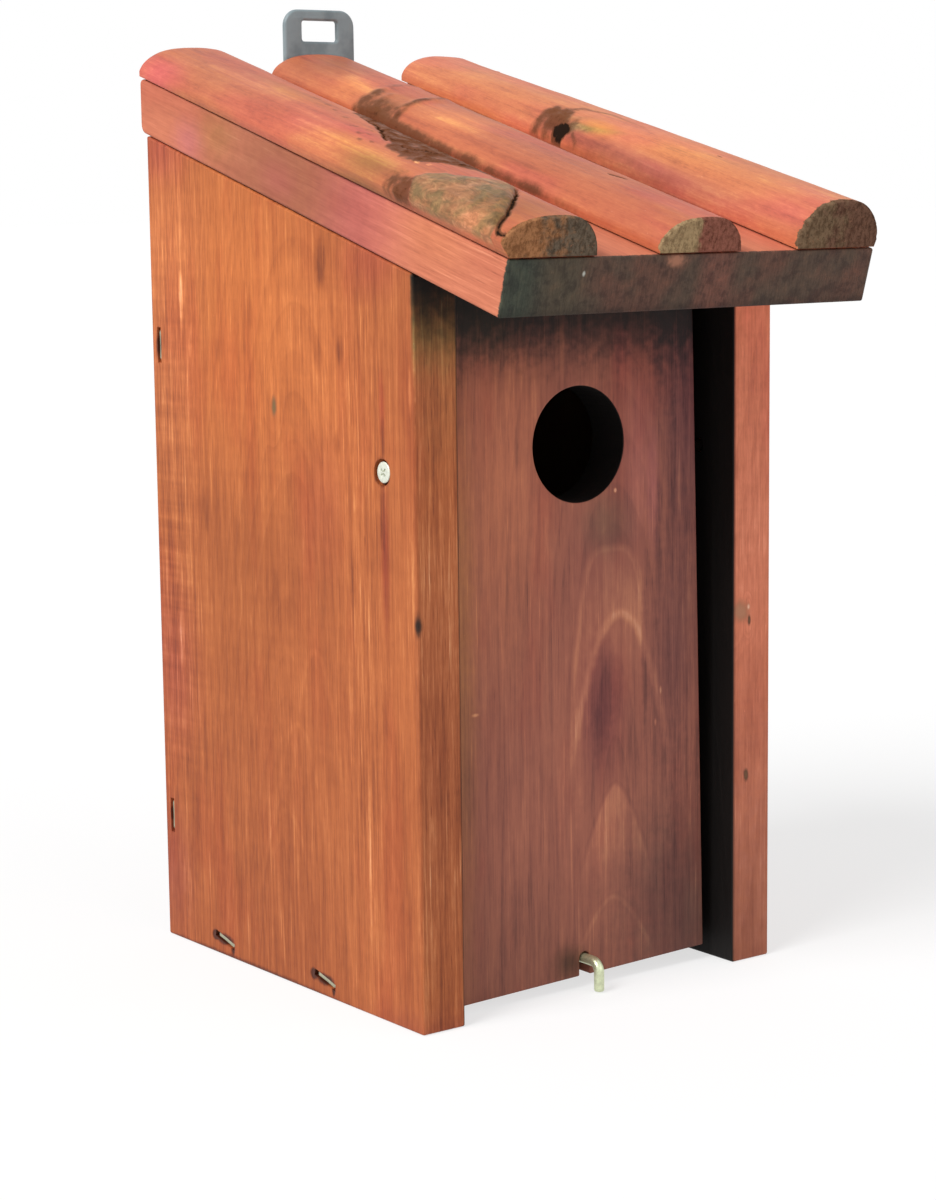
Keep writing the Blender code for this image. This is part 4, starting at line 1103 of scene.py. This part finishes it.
def make_metal():
    pivot_head, pivot_shank = 5.7 * MM, 3.5 * MM
    plate_head, plate_shank = 6.2 * MM, 3 * MM
    shade_within = (side_outside - board_thickness) / MM + 6
    pale = zinc("screw_zinc", (0.84, 0.87, 0.74), 0.42, 0.35, shade_within=shade_within)
    steel = zinc("screw_steel", (0.62, 0.63, 0.58), 0.38, 0.8)
    dull = zinc("staple_wire", (0.5, 0.5, 0.36), 0.42, 0.7, dirt=0.5)
    stained = zinc("nail_stained", (0.62, 0.22, 0.13), 0.5, 0.2, dirt=0.5)
    for side, outward in (("left", -ACROSS), ("right", ACROSS)):
        countersunk_screw("swing_screw_" + side, "pivot_screw_" + side, "front", outward,
                          pivot_head, pivot_shank, pale)
    seats = []
    for level in ("lower", "upper"):
        low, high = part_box("hanger_screw_" + level)
        seats.append(Vector(((low.x + high.x) / 2, high.y, (low.z + high.z) / 2)))
        countersunk_screw("plate_screw_" + level, "hanger_screw_" + level, "box", BACKWARD,
                          plate_head, plate_shank, steel)
    make_hanger(seats)
    make_hook()
    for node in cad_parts:
        if "staple" in node:
            make_staple(node, dull)
        if "nail" in node:
            dress(node, stained)


# Camera, light and floor
def add_camera():
    yaw, tilt, roll = -0.64091, 0.15055, -0.012059
    place = (-0.47308, -0.63873, 0.2246)
    forward = -Vector((sin(yaw) * cos(tilt), -cos(yaw) * cos(tilt), sin(tilt)))
    right = Vector((cos(yaw), sin(yaw), 0))
    upward = right.cross(forward)
    rolled_right = right * cos(roll) + upward * sin(roll)
    rolled_up = upward * cos(roll) - right * sin(roll)
    data = bpy.data.cameras.new("camera")
    data.sensor_width = 36
    data.lens = 82.02
    data.clip_start = 0.01
    data.clip_end = 100
    camera = bpy.data.objects.new("camera", data)
    turn = Matrix((rolled_right, rolled_up, -forward)).transposed().to_4x4()
    camera.matrix_world = Matrix.Translation(place) @ turn
    bpy.context.scene.collection.objects.link(camera)
    bpy.context.scene.camera = camera


def add_sun(name, towards, strength, softness):
    data = bpy.data.lights.new(name, "SUN")
    data.energy = strength
    data.angle = radians(softness)
    lamp = bpy.data.objects.new(name, data)
    lamp.rotation_euler = Vector(towards).to_track_quat("Z", "Y").to_euler()
    bpy.context.scene.collection.objects.link(lamp)


def looking_ray(tree):
    """1 for the rays that show the background: camera, glossy and transmission rays."""
    path = tree.nodes.new("ShaderNodeLightPath")
    seen = path.outputs["Is Camera Ray"]
    for kind in ("Is Glossy Ray", "Is Transmission Ray"):
        either = tree.nodes.new("ShaderNodeMath")
        either.operation = "MAXIMUM"
        tree.links.new(seen, either.inputs[0])
        tree.links.new(path.outputs[kind], either.inputs[1])
        seen = either.outputs[0]
    return seen


def add_world(ambient):
    world = bpy.data.worlds.new("studio")
    world.use_nodes = True
    nodes, links = world.node_tree.nodes, world.node_tree.links
    background = nodes["Background"]
    background.inputs["Color"].default_value = (1, 1, 1, 1)
    level = nodes.new("ShaderNodeMapRange")
    level.inputs["To Min"].default_value = ambient
    level.inputs["To Max"].default_value = 1
    links.new(looking_ray(world.node_tree), level.inputs["Value"])
    links.new(level.outputs[0], background.inputs["Strength"])
    bpy.context.scene.world = world


def add_floor(glow):
    """Pale floor that takes the object's shadow and fades into the white background."""
    shape = bmesh.new()
    bmesh.ops.create_grid(shape, x_segments=8, y_segments=8, size=15)
    floor = mesh_object("floor", shape)
    floor.location.z = -0.1 * MM
    g = Graph("floor_white", 1.0, specular=0.0)
    seen = looking_ray(g.tree)
    g.give("Base Color", g.mix(seen, (0.8, 0.8, 0.8), (0.34, 0.34, 0.34)))
    g.give("Emission Color", (1, 1, 1))
    g.give("Emission Strength", g.times(seen, glow))
    floor.data.materials.append(g.material)


paint_boards()
for log in LOGS:
    stand_in(sculpt_log(log), log_wood(log), "box", "roof_log_" + log.name)
make_metal()
add_camera()
add_sun("key", (-0.72, -0.10, 0.69), 2.7, 30)
add_sun("fill", (0.25, -0.90, 0.36), 0.55, 60)
add_world(0.33)
add_floor(0.68)
bpy.context.scene.view_settings.view_transform = "Standard"
